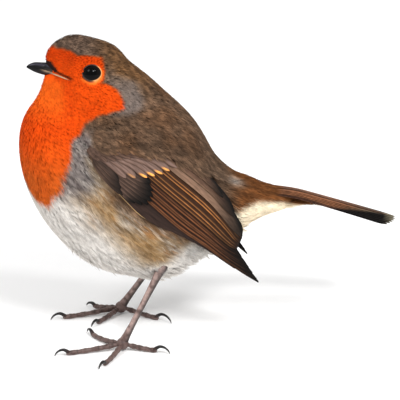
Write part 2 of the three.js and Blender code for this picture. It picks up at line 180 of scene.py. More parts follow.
def in_lumps(points, wide):
    """Places along, across and up each lump, as shares of its radii. wide is y before the face narrows."""
    dx, dz = points[:, 0, None] - LUMP_X, points[:, 2, None] - LUMP_Z
    return ((dx * LUMP_COS + dz * LUMP_SIN) / LUMP_RADII[:, 0], wide[:, None] / LUMP_RADII[:, 1],
            (dz * LUMP_COS - dx * LUMP_SIN) / LUMP_RADII[:, 2])


def form(points):
    """Roughly the distance from the plumage's outer form, negative inside."""
    along, across, up = in_lumps(points, points[:, 1] / narrowed(points)[0])
    reach = (np.sqrt(along**2 + across**2 + up**2) - 1) * LUMP_LEAST
    least = reach.min(1, keepdims=True)
    return least[:, 0] - BLEND * np.log(np.exp((least - reach) / BLEND).sum(1))


def slope(points):
    """The form's slope, which is close to 1 long and points outward."""
    width, rate_x, rate_z = narrowed(points)
    wide = points[:, 1] / width
    along, across, up = in_lumps(points, wide)
    size = np.sqrt(along**2 + across**2 + up**2) + 1e-9
    reach = (size - 1) * LUMP_LEAST
    weight = np.exp((reach.min(1, keepdims=True) - reach) / BLEND)
    weight *= LUMP_LEAST / size / weight.sum(1, keepdims=True)
    a, b, u = weight * along / LUMP_RADII[:, 0], weight * across / LUMP_RADII[:, 1], weight * up / LUMP_RADII[:, 2]
    sideways = b.sum(1)
    return np.stack([(a * LUMP_COS - u * LUMP_SIN).sum(1) - sideways * wide * rate_x / width, sideways / width,
                     (a * LUMP_SIN + u * LUMP_COS).sum(1) - sideways * wide * rate_z / width], 1)


def settle(points, level, times=2):
    """Moves points along the form's slope until they lie at that level of it."""
    for _ in range(times):
        steep = slope(points)
        size = np.maximum((steep**2).sum(1), 0.05)
        points = points - steep * ((form(points) - level) / size)[:, None]
    return points


BILL_ROOT = np.array([-50.0, 0.0, 93.0])


def from_bill(points):
    return np.linalg.norm(points - BILL_ROOT, axis=1)


def coat_depth(points):
    """How far the skin lies under the tips of the feathers."""
    return 0.28 + 0.72 * smooth(2, 45, from_bill(points))


# ---- eyes' places
EYE_RADIUS = 3.5
EYE_OPENING_OUT = 2.1
FORWARD = np.array([-1.0, 0, 0])


def eye_place(side):
    """An eye's centre and its own axes outward, ahead and upward."""
    low, high = node_box("eye_right" if side > 0 else "eye_left")
    centre = (low + high) / 2 - SHIFT
    outward = unit(slope(centre[None] + np.array([0, side * 1.5, 0])))[0]
    ahead = unit(FORWARD - outward * (FORWARD @ outward))
    upward = np.cross(ahead, outward)
    return centre, outward, ahead, upward * (1 if upward[2] > 0 else -1)


EYES = {side: eye_place(side) for side in (-1, 1)}


def from_eye(points):
    """Distance of points from the middle of the nearer eye's opening."""
    centre, outward = EYES[-1][:2]
    near = np.where(points[:, 1:2] > 0, points * [1, -1, 1], points)
    return np.linalg.norm(near - (centre + outward * EYE_OPENING_OUT), axis=1)


# ---- the lie of the coat
BACK_LIE, RUMP_LIE = np.array([0.8, 0, -0.6]), np.array([0.96, 0, -0.28])


def lie(points, normals):
    """The way the feathers lie: back from the bill, then down and back over the body, and round the eyes."""
    away = points - BILL_ROOT
    backward = mix(BACK_LIE, RUMP_LIE, smooth(-14, 12, points[:, 0]))
    flow = 22 * away / np.maximum((away**2).sum(1, keepdims=True), 9) + backward
    from_it = points - EYES[-1][0] * np.where(points[:, 1:2] > 0, [[1, -1, 1]], [[1, 1, 1]])
    push = np.exp(-(np.linalg.norm(from_it, axis=1) - 4.0) / 0.8)
    flow = flow + unit(from_it) * np.minimum(2 * push, 7)[:, None]
    return square_to(flow, normals)


# ---- markings
CROWN, CROWN_REAR = rgb(99, 80, 67), rgb(110, 79, 52)
MANTLE, MANTLE_DARK = rgb(106, 82, 64), rgb(82, 60, 46)
RUMP, RUFOUS = rgb(109, 87, 70), rgb(112, 69, 38)
ORANGE, ORANGE_DEEP = rgb(217, 73, 10), rgb(204, 60, 6)
ORANGE_BRIGHT, ORANGE_PALE = rgb(225, 104, 28), rgb(192, 93, 33)
EYE_RING = rgb(250, 146, 62)
BRISTLE, NOSTRIL_BRISTLE = rgb(70, 28, 12), rgb(22, 17, 18)
BLUE_GREY, GREY_GAP_SHADE = rgb(122, 114, 112), rgb(74, 66, 66)
FLANK, FLANK_DARK, FLANK_RUFOUS = rgb(152, 130, 104), rgb(94, 76, 60), rgb(162, 112, 68)
BUFF, CREAM = rgb(154, 117, 70), rgb(244, 229, 202)
WHITE, WHITE_GREY = rgb(222, 217, 211), rgb(178, 171, 164)

# The orange bib's edge from the forehead round the eye and cheek, down the breast and back round the front.
BIB_EDGE = np.array([
    (-62, 104), (-50, 101), (-45.6, 100.6), (-42.5, 100.8), (-40.1, 99.6), (-34.7, 99.4), (-32.6, 98.8),
    (-31.7, 96.5), (-31.9, 92.1), (-33.6, 91.0), (-31.6, 90.9), (-28.5, 89.2), (-26.8, 87.4), (-26.3, 84.7),
    (-25.9, 83.3), (-28.1, 82.4), (-30.7, 81.6), (-35.4, 80.2), (-38.6, 77.9), (-40.4, 75), (-42.8, 73),
    (-43.6, 69.4), (-44.5, 65), (-46.5, 62), (-48.2, 58), (-49.9, 53.8), (-51.3, 51.6), (-54, 52.6),
    (-57, 54.2), (-60, 57), (-66, 60),
])
# The upper edge of the cream feathers under the tail.
CREAM_EDGE = np.array([(0, 43), (12.7, 45.2), (16, 46.3), (19.5, 46.5), (26, 45.6), (32, 44.0), (42, 42.2)])
# The dark line of bristles over the corner of the mouth.
GAPE_LINE = np.array([(-48.6, 93.6), (-46.8, 93.2), (-45.3, 92.7), (-43.4, 92.2), (-42.2, 91.9), (-41, 91.6)])
# Turns places so that noise is drawn out along the lie of the breast's side, flanks and belly.
ALONG_LIE = np.array([[0.19, 0, 0.8], [0, 1.2, 0], [-0.165, 0, 0.9]])
RUMP_SPOT = 11.5, 54


def inside_depth(points, edge):
    """Distance from a closed edge in the side view: positive inside it and negative outside."""
    q = points[:, [0, 2]]
    a, b = edge, np.roll(edge, -1, 0)
    along = b - a
    share = ((q[:, None] - a) * along).sum(2) / (along**2).sum(1)
    nearest = a + np.clip(share, 0, 1)[..., None] * along
    distance = np.sqrt(((q[:, None] - nearest) ** 2).sum(2)).min(1)
    spans = (a[:, 1] > q[:, 1:2]) != (b[:, 1] > q[:, 1:2])
    crossing = a[:, 0] + (q[:, 1:2] - a[:, 1]) * along[:, 0] / np.where(along[:, 1] == 0, 1, along[:, 1])
    inside = (spans & (q[:, :1] < crossing)).sum(1) % 2 == 1
    return np.where(inside, distance, -distance)


class Marked:
    """Points on the body, with their places on the folded wing and the noises that vary the markings."""

    def __init__(self, points):
        self.points, self.x, self.z = points, points[:, 0], points[:, 2]
        self.width = np.abs(points[:, 1])
        self.s, self.t = wing_place(points)
        self.fine, self.speck, self.broad = (hash_noise(points, *noise) for noise in ((2.2, 1), (0.9, 4), (7.0, 2)))
        drawn_out = points @ ALONG_LIE
        self.streak, self.strand, self.fleck = (
            hash_noise(drawn_out, *noise) for noise in ((1.1, 3), (0.9, 5), (0.8, 8)))


def brown_parts(p):
    """The mantle, crown and rump, with painted shade on the mantle just above the wing."""
    colour = mix(MANTLE, MANTLE_DARK, 0.3 * smooth(0.45, 0.85, p.fine))
    colour = mix(colour, RUFOUS, 0.25 * smooth(0.5, 0.8, p.broad))
    crown = mix(CROWN, CROWN_REAR, smooth(-38, -27, p.x))
    crown = mix(crown, MANTLE_DARK, 0.35 * smooth(0.5, 0.9, p.fine))
    colour = mix(colour, crown, smooth(80, 90, p.z + 0.25 * (-p.x - 30)))
    colour = mix(colour, RUMP, smooth(-6, 6, p.x) * 0.8)
    colour = mix(colour, RUFOUS, smooth(7, 14, p.x))
    dx, dz = p.x - RUMP_SPOT[0], p.z - RUMP_SPOT[1]
    spot = np.exp(-((dx * 0.9 - dz * 0.44) / 2.6) ** 2 - ((dx * 0.44 + dz * 0.9) / 1.1) ** 2)
    colour = mix(colour, WHITE_GREY, 0.85 * spot * smooth(2, 4, p.width))
    # Painted shade: the mantle is darker in a band along the wing's upper edge.
    shade_above_wing = np.exp(-(((p.t - mantle_edge(p.s) - 3.5) / 3.5) ** 2)) * smooth(4, 12, p.s) * smooth(50, 40, p.s)
    return colour * (1 - 0.13 * shade_above_wing)[:, None]


def under_parts(p, colour):
    """The buff flank, white belly and cream under the tail, over the brown."""
    under = smooth(0, 7, -(p.z - 61.5) - 0.62 * (p.x + 38)) * smooth(14, 6, p.x)
    under = np.maximum(under, smooth(-26, -34, p.x - 0.16 * (p.z - 60)) * smooth(78, 70, p.z))
    on_the_wing = np.minimum(np.minimum(p.t - wing_low(p.s), wing_high(p.s) + 4 - p.t), p.s + 1)
    under = under * np.where(p.width > 8, smooth(0.8, -0.4, on_the_wing), 1)
    flank = mix(FLANK, FLANK_DARK, 0.8 * smooth(0.5, 0.8, p.streak))
    flank = mix(flank, FLANK_RUFOUS, 0.7 * smooth(0.6, 0.8, p.strand) * smooth(60, 55, p.z))
    flank = mix(flank, WHITE, 0.5 * smooth(0.52, 0.72, p.fleck))
    flank = mix(flank, BUFF, 0.6 * smooth(0.45, 0.75, p.broad) * smooth(62, 50, p.z))
    colour = mix(colour, flank, under)
    ahead = (-(p.x + 41.2) * 17.7 - (p.z - 49.6) * 16) / 23.9
    pale = smooth(-7, 3.5, ahead + 3 * (p.broad - 0.5))
    pale = np.maximum(pale, smooth(34, 27.5, p.z - 7 * smooth(-14, -4, p.x) + 2 * (p.fine - 0.5)))
    middle = smooth(18, 9, p.width + 0.25 * np.maximum(p.z - 45, 0))
    pale = np.maximum(pale, middle * smooth(58, 50, p.z) * under)
    colour = mix(colour, mix(WHITE, WHITE_GREY, 0.6 * smooth(0.5, 0.85, p.streak)), pale * under)
    cream = smooth(2, 9, p.x) * smooth(0.9, -0.6, p.z - np.interp(p.x, *CREAM_EDGE.T) + 0.8 * (p.fine - 0.5))
    colour = mix(colour, CREAM, cream)
    brown = 1 - np.clip(under + cream, 0, 1)
    return colour * (1 + 0.2 * brown * (smooth(0.35, 0.85, p.speck) - 0.5) * 2)[:, None]


def bib(p, colour):
    """The orange face and breast, with a blue-grey border behind and below it."""
    ragged = (2.6 * (p.broad - 0.5) + 1.4 * (p.speck - 0.5)) * smooth(66, 58, p.z)
    depth = inside_depth(p.points, BIB_EDGE) + 0.9 * (p.fine - 0.5) + ragged
    wide = 3.4 + 3 * smooth(76, 71, p.z) + 6 * smooth(69, 59, p.z) + 5 * smooth(80, 84, p.z) * smooth(97, 88, p.z)
    border = smooth(-wide, -0.55 * wide, depth)
    behind_eye = smooth(79, 83, p.z) * smooth(98, 88, p.z) * smooth(-34, -30, p.x)
    beside = smooth(52, 59, p.z) * smooth(78, 74, p.z) + 0.75 * behind_eye
    low_side = smooth(80, 74, p.z)
    # Painted shade: the border's lower part carries dark streaks that stand for shadow in the gaps between feathers
    # near the wing's front edge.
    grey = mix(BLUE_GREY, GREY_GAP_SHADE, 0.8 * smooth(0.52, 0.72, p.streak) * low_side)
    grey = mix(grey, WHITE_GREY, 0.6 * smooth(0.58, 0.72, p.strand) * low_side)
    colour = mix(colour, grey, np.clip(0.9 * border * beside, 0, 1))
    orange = mix(ORANGE, ORANGE_DEEP, 0.55 * smooth(0.45, 0.8, p.fine) * smooth(70, 88, p.z))
    throat = smooth(-43, -47, p.x) * smooth(76, 84, p.z) * smooth(92, 89, p.z)
    orange = mix(orange, ORANGE_BRIGHT, 0.45 * smooth(0.4, 0.8, p.broad) * smooth(-44, -52, p.x) + 0.6 * throat)
    orange = mix(orange, ORANGE_DEEP * 0.94, 0.7 * smooth(95.5, 99.5, p.z))
    low_edge = smooth(2.5, 0, depth) * smooth(60, 54, p.z)
    orange = mix(orange, ORANGE_PALE, 0.7 * smooth(76, 58, p.z) + 0.3 * low_edge)
    return mix(colour, orange, smooth(-0.5, 0.5, depth))


def markings(points):
    """The plumage's colour at points on the body."""
    p = Marked(points)
    colour = bib(p, under_parts(p, brown_parts(p)))
    # the ring of pale feathers under and behind the eye
    ring = smooth(4.4, 3.3, from_eye(points)) * smooth(1.2, -0.6, p.z - EYES[-1][0][2] - 0.35 * (p.x + 36))
    colour = mix(colour, EYE_RING, 0.7 * (ring * smooth(0.3, 0.7, p.fine + 0.3 * p.speck)))
    # dark bristles round the root of the bill and along the corner of the mouth
    mouth = np.abs(p.z - np.interp(p.x, *GAPE_LINE.T)) / 0.5
    nostril = smooth(0.3, -0.3, p.x + 46.9 + 0.667 * (p.z - 94.1)) * smooth(92.9, 93.5, p.z) * smooth(96.6, 96.1, p.z)
    colour = mix(colour, BRISTLE, 0.8 * smooth(1.1, 0.5, mouth) * smooth(-41.2, -43.5, p.x))
    return mix(colour, NOSTRIL_BRISTLE, 0.95 * nostril)


# ---- meshes
class Gather:
    """Points, triangles, colours and map places of one piece, added a part at a time."""

    def __init__(self):
        self.points, self.triangles, self.colours, self.maps, self.slots = [], [], [], [], []
        self.count, self.vanes = 0, 0

    def add(self, points, triangles, colours, places=None, slot=0, by_corner=False):
        points, triangles = np.asarray(points, float).reshape(-1, 3), np.asarray(triangles).reshape(-1, 3)
        places = np.zeros((len(points), 2)) if places is None else np.asarray(places).reshape(-1, 2)
        self.points.append(points)
        self.triangles.append(triangles + self.count)
        self.colours.append(np.broadcast_to(colours, points.shape))
        self.maps.append(places if by_corner else places[triangles.ravel()])
        self.slots.append(np.full(len(triangles), slot))
        self.count += len(points)

    def build(self, name, materials, mapped=True, smooth_faces=True):
        points, triangles = np.concatenate(self.points), np.concatenate(self.triangles)
        corners = 3 * len(triangles)
        mesh = bpy.data.meshes.new(name)
        mesh.vertices.add(len(points))
        mesh.loops.add(corners)
        mesh.polygons.add(len(triangles))
        for owner, key, values, kind in (
                (mesh.vertices, "co", metres(points), np.float32),
                (mesh.loops, "vertex_index", triangles, np.int32),
                (mesh.polygons, "loop_start", np.arange(0, corners, 3), np.int32),
                (mesh.polygons, "material_index", np.concatenate(self.slots), np.int32),
                (mesh.polygons, "use_smooth", np.full(len(triangles), smooth_faces), bool)):
            owner.foreach_set(key, values.astype(kind).ravel())
        rgba = np.ones((len(points), 4), np.float32)
        rgba[:, :3] = linear(np.concatenate(self.colours))
        mesh.color_attributes.new("shade", "FLOAT_COLOR", "POINT").data.foreach_set("color", rgba.ravel())
        if mapped:
            places = np.concatenate(self.maps).astype(np.float32)
            mesh.uv_layers.new(name="OFBake").data.foreach_set("uv", places.ravel())
        for material in materials:
            mesh.materials.append(material)
        mesh.update(calc_edges=True)
        piece = bpy.data.objects.new(name, mesh)
        bpy.context.scene.collection.objects.link(piece)
        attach(piece, "root")
        return piece


def rings_to_triangles(rows, size, caps=True):
    """Triangles between closed rows of size points each, and fans over the ends when caps is set."""
    i, j = np.meshgrid(np.arange(rows - 1), np.arange(size), indexing="ij")
    a, b = i * size + j, i * size + (j + 1) % size
    sides = np.stack([a, b, b + size, a, b + size, a + size], -1).reshape(-1, 3)
    if not caps:
        return sides
    inner = np.arange(1, size - 1)
    start = np.stack([np.zeros_like(inner), inner + 1, inner], 1)
    end = np.stack([np.zeros_like(inner), inner, inner + 1], 1) + (rows - 1) * size
    return np.concatenate([sides, start, end])


def circle(count):
    return np.linspace(0, 2 * math.pi, count, endpoint=False)


def tube(path, radii, sides, up=(0, 0, 1), flat=1.0, shape=None):
    """A closed round body along a path. shape(share along, angle) scales its radius."""
    along = unit(np.gradient(path, axis=0))
    right = unit(np.cross(along, np.asarray(up, float)))
    above = np.cross(right, along)
    angle = circle(sides)
    size = np.asarray(radii, float)[:, None] * np.ones(sides)
    if shape:
        size = size * shape(np.linspace(0, 1, len(path))[:, None], angle[None])
    offset = right[:, None] * np.cos(angle)[None, :, None] + above[:, None] * (np.sin(angle) * flat)[None, :, None]
    return (path[:, None] + offset * size[..., None]).reshape(-1, 3), rings_to_triangles(len(path), sides)


def resample(values, count):
    """A table's rows, taken smoothly at count even steps."""
    values = np.asarray(values, float)
    values = values[:, None] if values.ndim == 1 else values
    n = len(values)
    padded = np.concatenate([2 * values[:1] - values[1:2], values, 2 * values[-1:] - values[-2:-1]])
    t = np.linspace(0, n - 1, count)
    k = np.minimum(t.astype(int), n - 2)
    u = (t - k)[:, None]
    p0, p1, p2, p3 = (padded[k + m] for m in range(4))
    out = 0.5 * (2 * p1 + (p2 - p0) * u + (2 * p0 - 5 * p1 + 4 * p2 - p3) * u**2 + (3 * p1 - p0 - 3 * p2 + p3) * u**3)
    return out[:, 0] if out.shape[1] == 1 else out


def spread(values, share):
    """A row of values at even steps, read off at shares of its length."""
    return np.interp(share, np.linspace(0, 1, len(values)), values)


# ---- materials
def node_material(name, roughness, bump, bump_scale, vary, vary_scale, specular, stretch=(1, 1, 1), turn=0.0):
    """The shade attribute, varied by noise, with bump (in millimetres) and roughness from finer noise. The noise
    is drawn out by stretch after a turn about y, in degrees."""
    material = bpy.data.materials.new(name)
    material.use_nodes = True
    nodes, links = material.node_tree.nodes, material.node_tree.links
    shader = nodes["Principled BSDF"]
    shader.inputs["Specular IOR Level"].default_value = specular
    scale = nodes.new("ShaderNodeMapping")
    scale.vector_type = "TEXTURE"
    scale.inputs["Rotation"].default_value = (0, math.radians(turn), 0)
    scale.inputs["Scale"].default_value = stretch
    links.new(nodes.new("ShaderNodeTexCoord").outputs["Object"], scale.inputs["Vector"])

    def noise(size, detail):
        node = nodes.new("ShaderNodeTexNoise")
        node.inputs["Scale"].default_value = size
        node.inputs["Detail"].default_value = detail
        links.new(scale.outputs["Vector"], node.inputs["Vector"])
        return node.outputs["Fac"]

    def spanned(value, middle, reach, least=0.0, most=1.0):
        node = nodes.new("ShaderNodeMapRange")
        span = {"From Min": least, "From Max": most, "To Min": middle - reach, "To Max": middle + reach}
        for key, number in span.items():
            node.inputs[key].default_value = number
        links.new(value, node.inputs["Value"])
        return node.outputs["Result"]

    shade = nodes.new("ShaderNodeVertexColor")
    shade.layer_name = "shade"
    times = nodes.new("ShaderNodeVectorMath")
    times.operation = "SCALE"
    links.new(shade.outputs["Color"], times.inputs[0])
    links.new(spanned(noise(vary_scale, 4), 1, vary, 0.3, 0.7), times.inputs["Scale"])
    links.new(times.outputs["Vector"], shader.inputs["Base Color"])
    fine = noise(bump_scale, 3)
    links.new(spanned(fine, roughness, 0.08), shader.inputs["Roughness"])
    if bump:
        lift = nodes.new("ShaderNodeBump")
        lift.inputs["Strength"].default_value = 1.0
        lift.inputs["Distance"].default_value = bump * MM
        links.new(fine, lift.inputs["Height"])
        links.new(lift.outputs["Normal"], shader.inputs["Normal"])
    return material


# name, roughness, bump and its scale, variation and its scale, specular
PLUMAGE_MATERIAL = node_material("plumage", 0.85, 0.02, 2600, 0.12, 420, 0.06)
VANE_MATERIAL = node_material("vanes", 0.62, 0.04, 2600, 0.3, 2300, 0.1, stretch=(9, 1.6, 1), turn=43.5)
LEG_MATERIAL = node_material("leg_scales", 0.48, 0.05, 1500, 0.16, 1600, 0.35)
HORN_MATERIAL = node_material("bill_horn", 0.3, 0.015, 1100, 0.14, 900, 0.14)
CLAW_MATERIAL = node_material("claw_horn", 0.34, 0.015, 1500, 0.15, 900, 0.3)
LID_MATERIAL = node_material("eyelid", 0.5, 0.05, 2500, 0.15, 900, 0.4)
EYE_MATERIAL = node_material("eye", 0.09, 0, 900, 0.1, 1500, 0.09)

# ---- unwrap of the skin's own shape
# The body's axis from the bill to the tail (x, z). Points go round it (u) and along it (v).
BODY_AXIS = np.array([
    (-56, 94), (-44, 92), (-36, 87), (-31, 76), (-27, 62), (-20, 50), (-6, 45), (8, 46), (34, 45)], float)
BODY_AXIS_STEPS = np.linalg.norm(np.diff(BODY_AXIS, axis=0), axis=1)
# The share of the skin's area between neighbouring points of the axis.
BODY_AXIS_GIRTHS = np.array([20, 50, 70, 105, 130, 125, 85, 45])
BODY_AXIS_V = np.concatenate([[0], np.cumsum(BODY_AXIS_STEPS * BODY_AXIS_GIRTHS)])
BODY_AXIS_V = 0.02 + 0.88 * BODY_AXIS_V / BODY_AXIS_V[-1]
PATCH = 0.003


def unwrap(points):
    q = points[:, [0, 2]]
    a, along = BODY_AXIS[:-1], np.diff(BODY_AXIS, axis=0)
    share = np.clip(((q[:, None] - a) * along).sum(2) / (along**2).sum(1), 0, 1)
    offset = q[:, None] - (a + share[..., None] * along)
    which = (offset**2).sum(2).argmin(1)
    rows = np.arange(len(q))
    v = lerp(BODY_AXIS_V[which], BODY_AXIS_V[which + 1], share[rows, which])
    way = unit(along[which])
    above = (offset[rows, which] * np.stack([-way[:, 1], way[:, 0]], 1)).sum(1)
    u = np.arctan2(points[:, 1], above) / (2 * math.pi) + 0.5
    return np.stack([0.01 + 0.98 * u, v], 1)


# ---- the folded wing's sheet, as in the CAD source
def sheet_place(root, way, s, t, y):
    """Points of a sheet in the side view: s along it, t square to it and upward, and y sideways."""
    return np.stack([root[0] + way[0] * s - way[1] * t, y, root[1] + way[1] * s + way[0] * t], -1)


# s runs from the wrist to the tip, and t upward and back across the wing.
WRIST, WING_TIP = np.array([-38.4, 72.5]), np.array([18.2, 18.7])
WING_LENGTH = float(np.linalg.norm(WING_TIP - WRIST))
WING_WAY = (WING_TIP - WRIST) / WING_LENGTH
FULLEST, FULLEST_AT = 22.0, 27.0
# The lower edge of the mantle's feathers where they lie over the wing, t for s.
MANTLE_EDGE = np.array([
    (-4, -1), (1.6, 1.5), (5.4, 3.7), (9.5, 6.9), (14, 9.9), (19, 12.5), (24.6, 14.5), (33, 17.4), (44, 17.6)])


def wing_low(s):
    return -5 * (1 - np.exp(-np.maximum(s, 0) / 5.5)) * (1 - smooth(30, 52, s)) - 0.4


def wing_high(s):
    rise = (2.2 + 16.3 * np.sin(math.pi / 2 * np.clip(s / 42, 0, 1))) * (1 - smooth(46, 74, s))
    return np.maximum(rise, np.where(s > 60, 0.3 + 0.35 * np.maximum(WING_LENGTH - s, 0), 0))


def wing_level(s, t):
    radius = lerp(46, 16, np.clip(s / 42, 0, 1))
    fall = np.where(s < FULLEST_AT, 200, 265)
    return FULLEST - (s - FULLEST_AT) ** 2 / fall - np.maximum(t, 0) ** 2 / (2 * radius) - 1.4 * smooth(3.5, -0.5, s)


def wing_place(points):
    q = points[:, [0, 2]] - WRIST
    return q @ WING_WAY, q @ np.array([-WING_WAY[1], WING_WAY[0]])


def wing_margin(s, t, past_wrist=0.0):
    """How far places lie inside the folded wing's outline."""
    return np.minimum(np.minimum(t - wing_low(s), wing_high(s) - t), s + past_wrist)


def mantle_edge(s):
    return np.interp(s, *MANTLE_EDGE.T)


def moved_sideways(points, outward):
    """Points moved away from the body's middle plane, except those near it."""
    moved = points.copy()
    moved[:, 1] += np.sign(points[:, 1]) * outward * (np.abs(points[:, 1]) > 5)
    return moved


def tuck(points, beneath):
    """Presses points in under the folded wings, so that they lie at least that far beneath the wing's sheet."""
    s, t = wing_place(points)
    over = np.maximum(np.abs(points[:, 1]) - (wing_level(s, t) - beneath), 0)
    return moved_sideways(points, -over * smooth(-1.5, 0.8, wing_margin(s, t, 0.5)))


def lay_over(points, above):
    """Lifts points that lie within the wings' outline out over them."""
    s, t = wing_place(points)
    short = np.maximum(wing_level(s, t) + above - np.abs(points[:, 1]), 0)
    return moved_sideways(points, short * smooth(-2.5, 0.0, wing_margin(s, t, 0.5)))


# ---- skin
SKIN_CELL, SKIN_BENEATH = 0.85, 1.2
SKIN_LOW, SKIN_HIGH = np.array([-64.0, -26.0, 15.0]), np.array([38.0, 26.0, 108.0])
BATCH = 60000


def grid_of(counts):
    return np.stack(np.meshgrid(*[np.arange(n) for n in counts], indexing="ij"), -1)


def skin_surface():
    """Surface nets over the form, sunk by the coat's depth."""
    counts = np.ceil((SKIN_HIGH - SKIN_LOW) / SKIN_CELL).astype(int) + 1
    grid = SKIN_LOW + grid_of(counts).reshape(-1, 3) * SKIN_CELL
    batches = [grid[start:start + BATCH] for start in range(0, len(grid), BATCH)]
    values = np.concatenate([form(batch) + coat_depth(batch) for batch in batches]).reshape(counts)
    inside = values < 0
    cells = tuple(counts - 1)
    total, crossings = np.zeros(cells + (3,)), np.zeros(cells)
    base = grid_of(cells).astype(float)

    def window(corner):
        return tuple(slice(corner[m], corner[m] + cells[m]) for m in range(3))

    for corner, axis in itertools.product(range(8), range(3)):
        a = corner & 1, corner >> 1 & 1, corner >> 2
        if a[axis]:
            continue
        step = np.eye(3, dtype=int)[axis]
        va, vb = values[window(a)], values[window(a + step)]
        cut = (va < 0) != (vb < 0)
        share = np.where(cut, va / np.where(cut, va - vb, 1), 0)
        total += cut[..., None] * (base + np.array(a) + share[..., None] * step)
        crossings += cut
    mixed = crossings > 0
    index = np.full(cells, -1)
    index[mixed] = np.arange(mixed.sum())
    points = SKIN_LOW + total[mixed] / crossings[mixed][:, None] * SKIN_CELL
    triangles = []
    for axis in range(3):
        u, v = (axis + 1) % 3, (axis + 2) % 3
        here = [slice(0, n) for n in counts]
        there = list(here)
        here[axis], there[axis] = slice(0, counts[axis] - 1), slice(1, counts[axis])
        flips = np.argwhere(inside[tuple(here)] != inside[tuple(there)])
        flips = flips[(flips[:, u] > 0) & (flips[:, v] > 0)]
        ring = []
        for du, dv in ((0, 0), (1, 0), (1, 1), (0, 1)):
            cell = flips.copy()
            cell[:, u] -= du
            cell[:, v] -= dv
            ring.append(index[tuple(cell.T)])
        ring = np.stack(ring, 1)
        ring = np.where(inside[tuple(flips.T)][:, None], ring, ring[:, ::-1])
        triangles += [ring[:, [0, 1, 2]], ring[:, [0, 2, 3]]]
    for _ in range(3):
        steep = slope(points)
        gap = form(points) + coat_depth(points)
        points = points - steep * (gap / np.maximum((steep**2).sum(1), 0.05))[:, None]
    return points, np.concatenate(triangles)


bare_points, skin_triangles = skin_surface()
skin_points = tuck(bare_points, SKIN_BENEATH)

# ---- legs
KNEE = (-21, 12, 37)
THIGH_RADII = (4.2, 5.4, 4.4, 2.9, 1.9)
SHANK_RADII = (1.6, 1.35, 1.18, 1.1, 1.06, 1.06, 1.12, 1.3, 1.7)
SHANK_STEPS, SHANK_SIDES, SHANK_PLATES = 70, 16, 8
BALL_RADIUS, BALL_HEIGHT = 2.1, 2.3
BALL_ROWS, BALL_SIDES = 12, 16
TOE_RADIUS, TOE_START, TOE_RISE, TOE_SOLE = 0.95, 2.45, 1.6, 0.12
TOE_GIRTH = (0.72, 1.05, 0.84, 1, 0.8, 0.98, 0.76, 0.96, 0.7)
TOE_STEPS, TOE_SIDES, TOE_PLATE = 56, 14, 1.25
CLAW_RADII = (0.74, 0.64, 0.48, 0.32, 0.1)
CLAW_ARCH = ((-0.12, 0.05), (0.07, 0.2), (0.3, 0.32), (0.64, 0.28), (0.9, 0.08), (1, -0.12))
CLAW_STEPS, CLAW_SIDES = 18, 12
# Side, heel and ball; and for each toe its heading and bend in degrees (0 is forward, + outward), its length
# without claw, and the claw's length.
FEET = {
    "left": (-1, (-14.9, 14.6, 27.2), (-28, 16.5), {
        "hallux": (166, -6, 11.4, 4.8), "inner": (-42, -13, 15.4, 3.5),
        "middle": (4, 3, 18.7, 4.2), "outer": (63, -4, 13.8, 3.6)}),
    "right": (1, (-9.6, 12.2, 26.1), (-26, 14.3), {
        "hallux": (-150, 5, 14.4, 5.6), "inner": (-44, -2, 12.6, 3.4),
        "middle": (-7, -2, 20.4, 4.6), "outer": (30, 1, 10.6, 3)}),
}
# Above the heel the left leg runs out sideways through the feathers for a short way, and both turn in under them
# (millimetres for the whole leg's length, the share of it where they turn in, and the share where they end).
LEG_SPLAY, LEG_SPLAY_END, LEG_DIVE = {-1: 24, 1: -10}, 0.06, 60
LEG_TOP = {-1: -0.16, 1: -0.04}
LEG_COLOUR, LEG_DARK = rgb(140, 119, 113), rgb(56, 38, 34)
CLAW_COLOUR, SOLE_COLOUR = rgb(24, 20, 20), rgb(140, 120, 110)


def saw(share, count):
    """Rises from 0 to 1 in each of count steps, and drops back at once."""
    step = share * count
    return step - np.floor(step)


def leg_colours(points, seed):
    colour = mix(LEG_COLOUR, LEG_DARK, 0.8 * smooth(0.35, 0.9, hash_noise(points, 0.9, seed)))
    return mix(colour, LEG_DARK, 0.5 * smooth(9, 2.5, points[:, 2]))


def plate_shade(steps, sides, plates):
    """For a tube's points: how far round to the upper side (sine), and the place within the plates along it."""
    return np.tile(np.sin(circle(sides)), steps), np.repeat(saw(np.linspace(0, 1, steps), plates), sides)


def add_shank(gather, side, heel, ball):
    top, foot = np.array([heel[0], side * heel[1], heel[2]]), np.array([ball[0], side * ball[1], BALL_HEIGHT])
    share = np.linspace(LEG_TOP[side], 1, SHANK_STEPS)
    path = top + (foot - top) * share[:, None]
    splay = LEG_SPLAY[side] * np.clip(-share, 0, LEG_SPLAY_END)
    path[:, 1] += side * (splay - LEG_DIVE * np.maximum(-share - LEG_SPLAY_END, 0))

    def scutes(along, angle):
        # Broad plates wrap the front, and the back edge is narrower.
        plates = 0.035 * saw(along, SHANK_PLATES) * np.clip(np.sin(angle), 0, 1)
        return 1 + plates - 0.10 * np.clip(-np.sin(angle), 0, 1) ** 2

    radii = spread(SHANK_RADII, np.clip(share, 0, 1))
    points, triangles = tube(path, radii, SHANK_SIDES, up=(-1.0, 0, 0.55), shape=scutes)
    front, row = plate_shade(SHANK_STEPS, SHANK_SIDES, SHANK_PLATES)
    # The shank is painted lighter at the front and darker at the back: a painted highlight and painted shade.
    colours = leg_colours(points, 5) * lerp(0.5, 1.15, smooth(-0.7, 0.7, front))[:, None]
    gather.add(points, triangles, colours * (1 - 0.2 * smooth(0.9, 1, row) * (front > 0))[:, None], slot=1)


def toe_point(side, ball, toe, distance, height):
    heading, bend, length, claw = toe
    turn = np.radians(heading + bend * distance / (length + claw))
    return np.stack([ball[0] - distance * np.cos(turn), side * (ball[1] + distance * np.sin(turn)),
                     np.broadcast_to(height, np.shape(distance))], -1)


def globe(polar, angle, ahead, aside, outward):
    """Unit places on a sphere, for angles from one axis and round it."""
    round_it = np.cos(angle)[:, None] * ahead + np.sin(angle)[:, None] * aside
    return np.sin(polar)[:, None, None] * round_it + np.cos(polar)[:, None, None] * outward


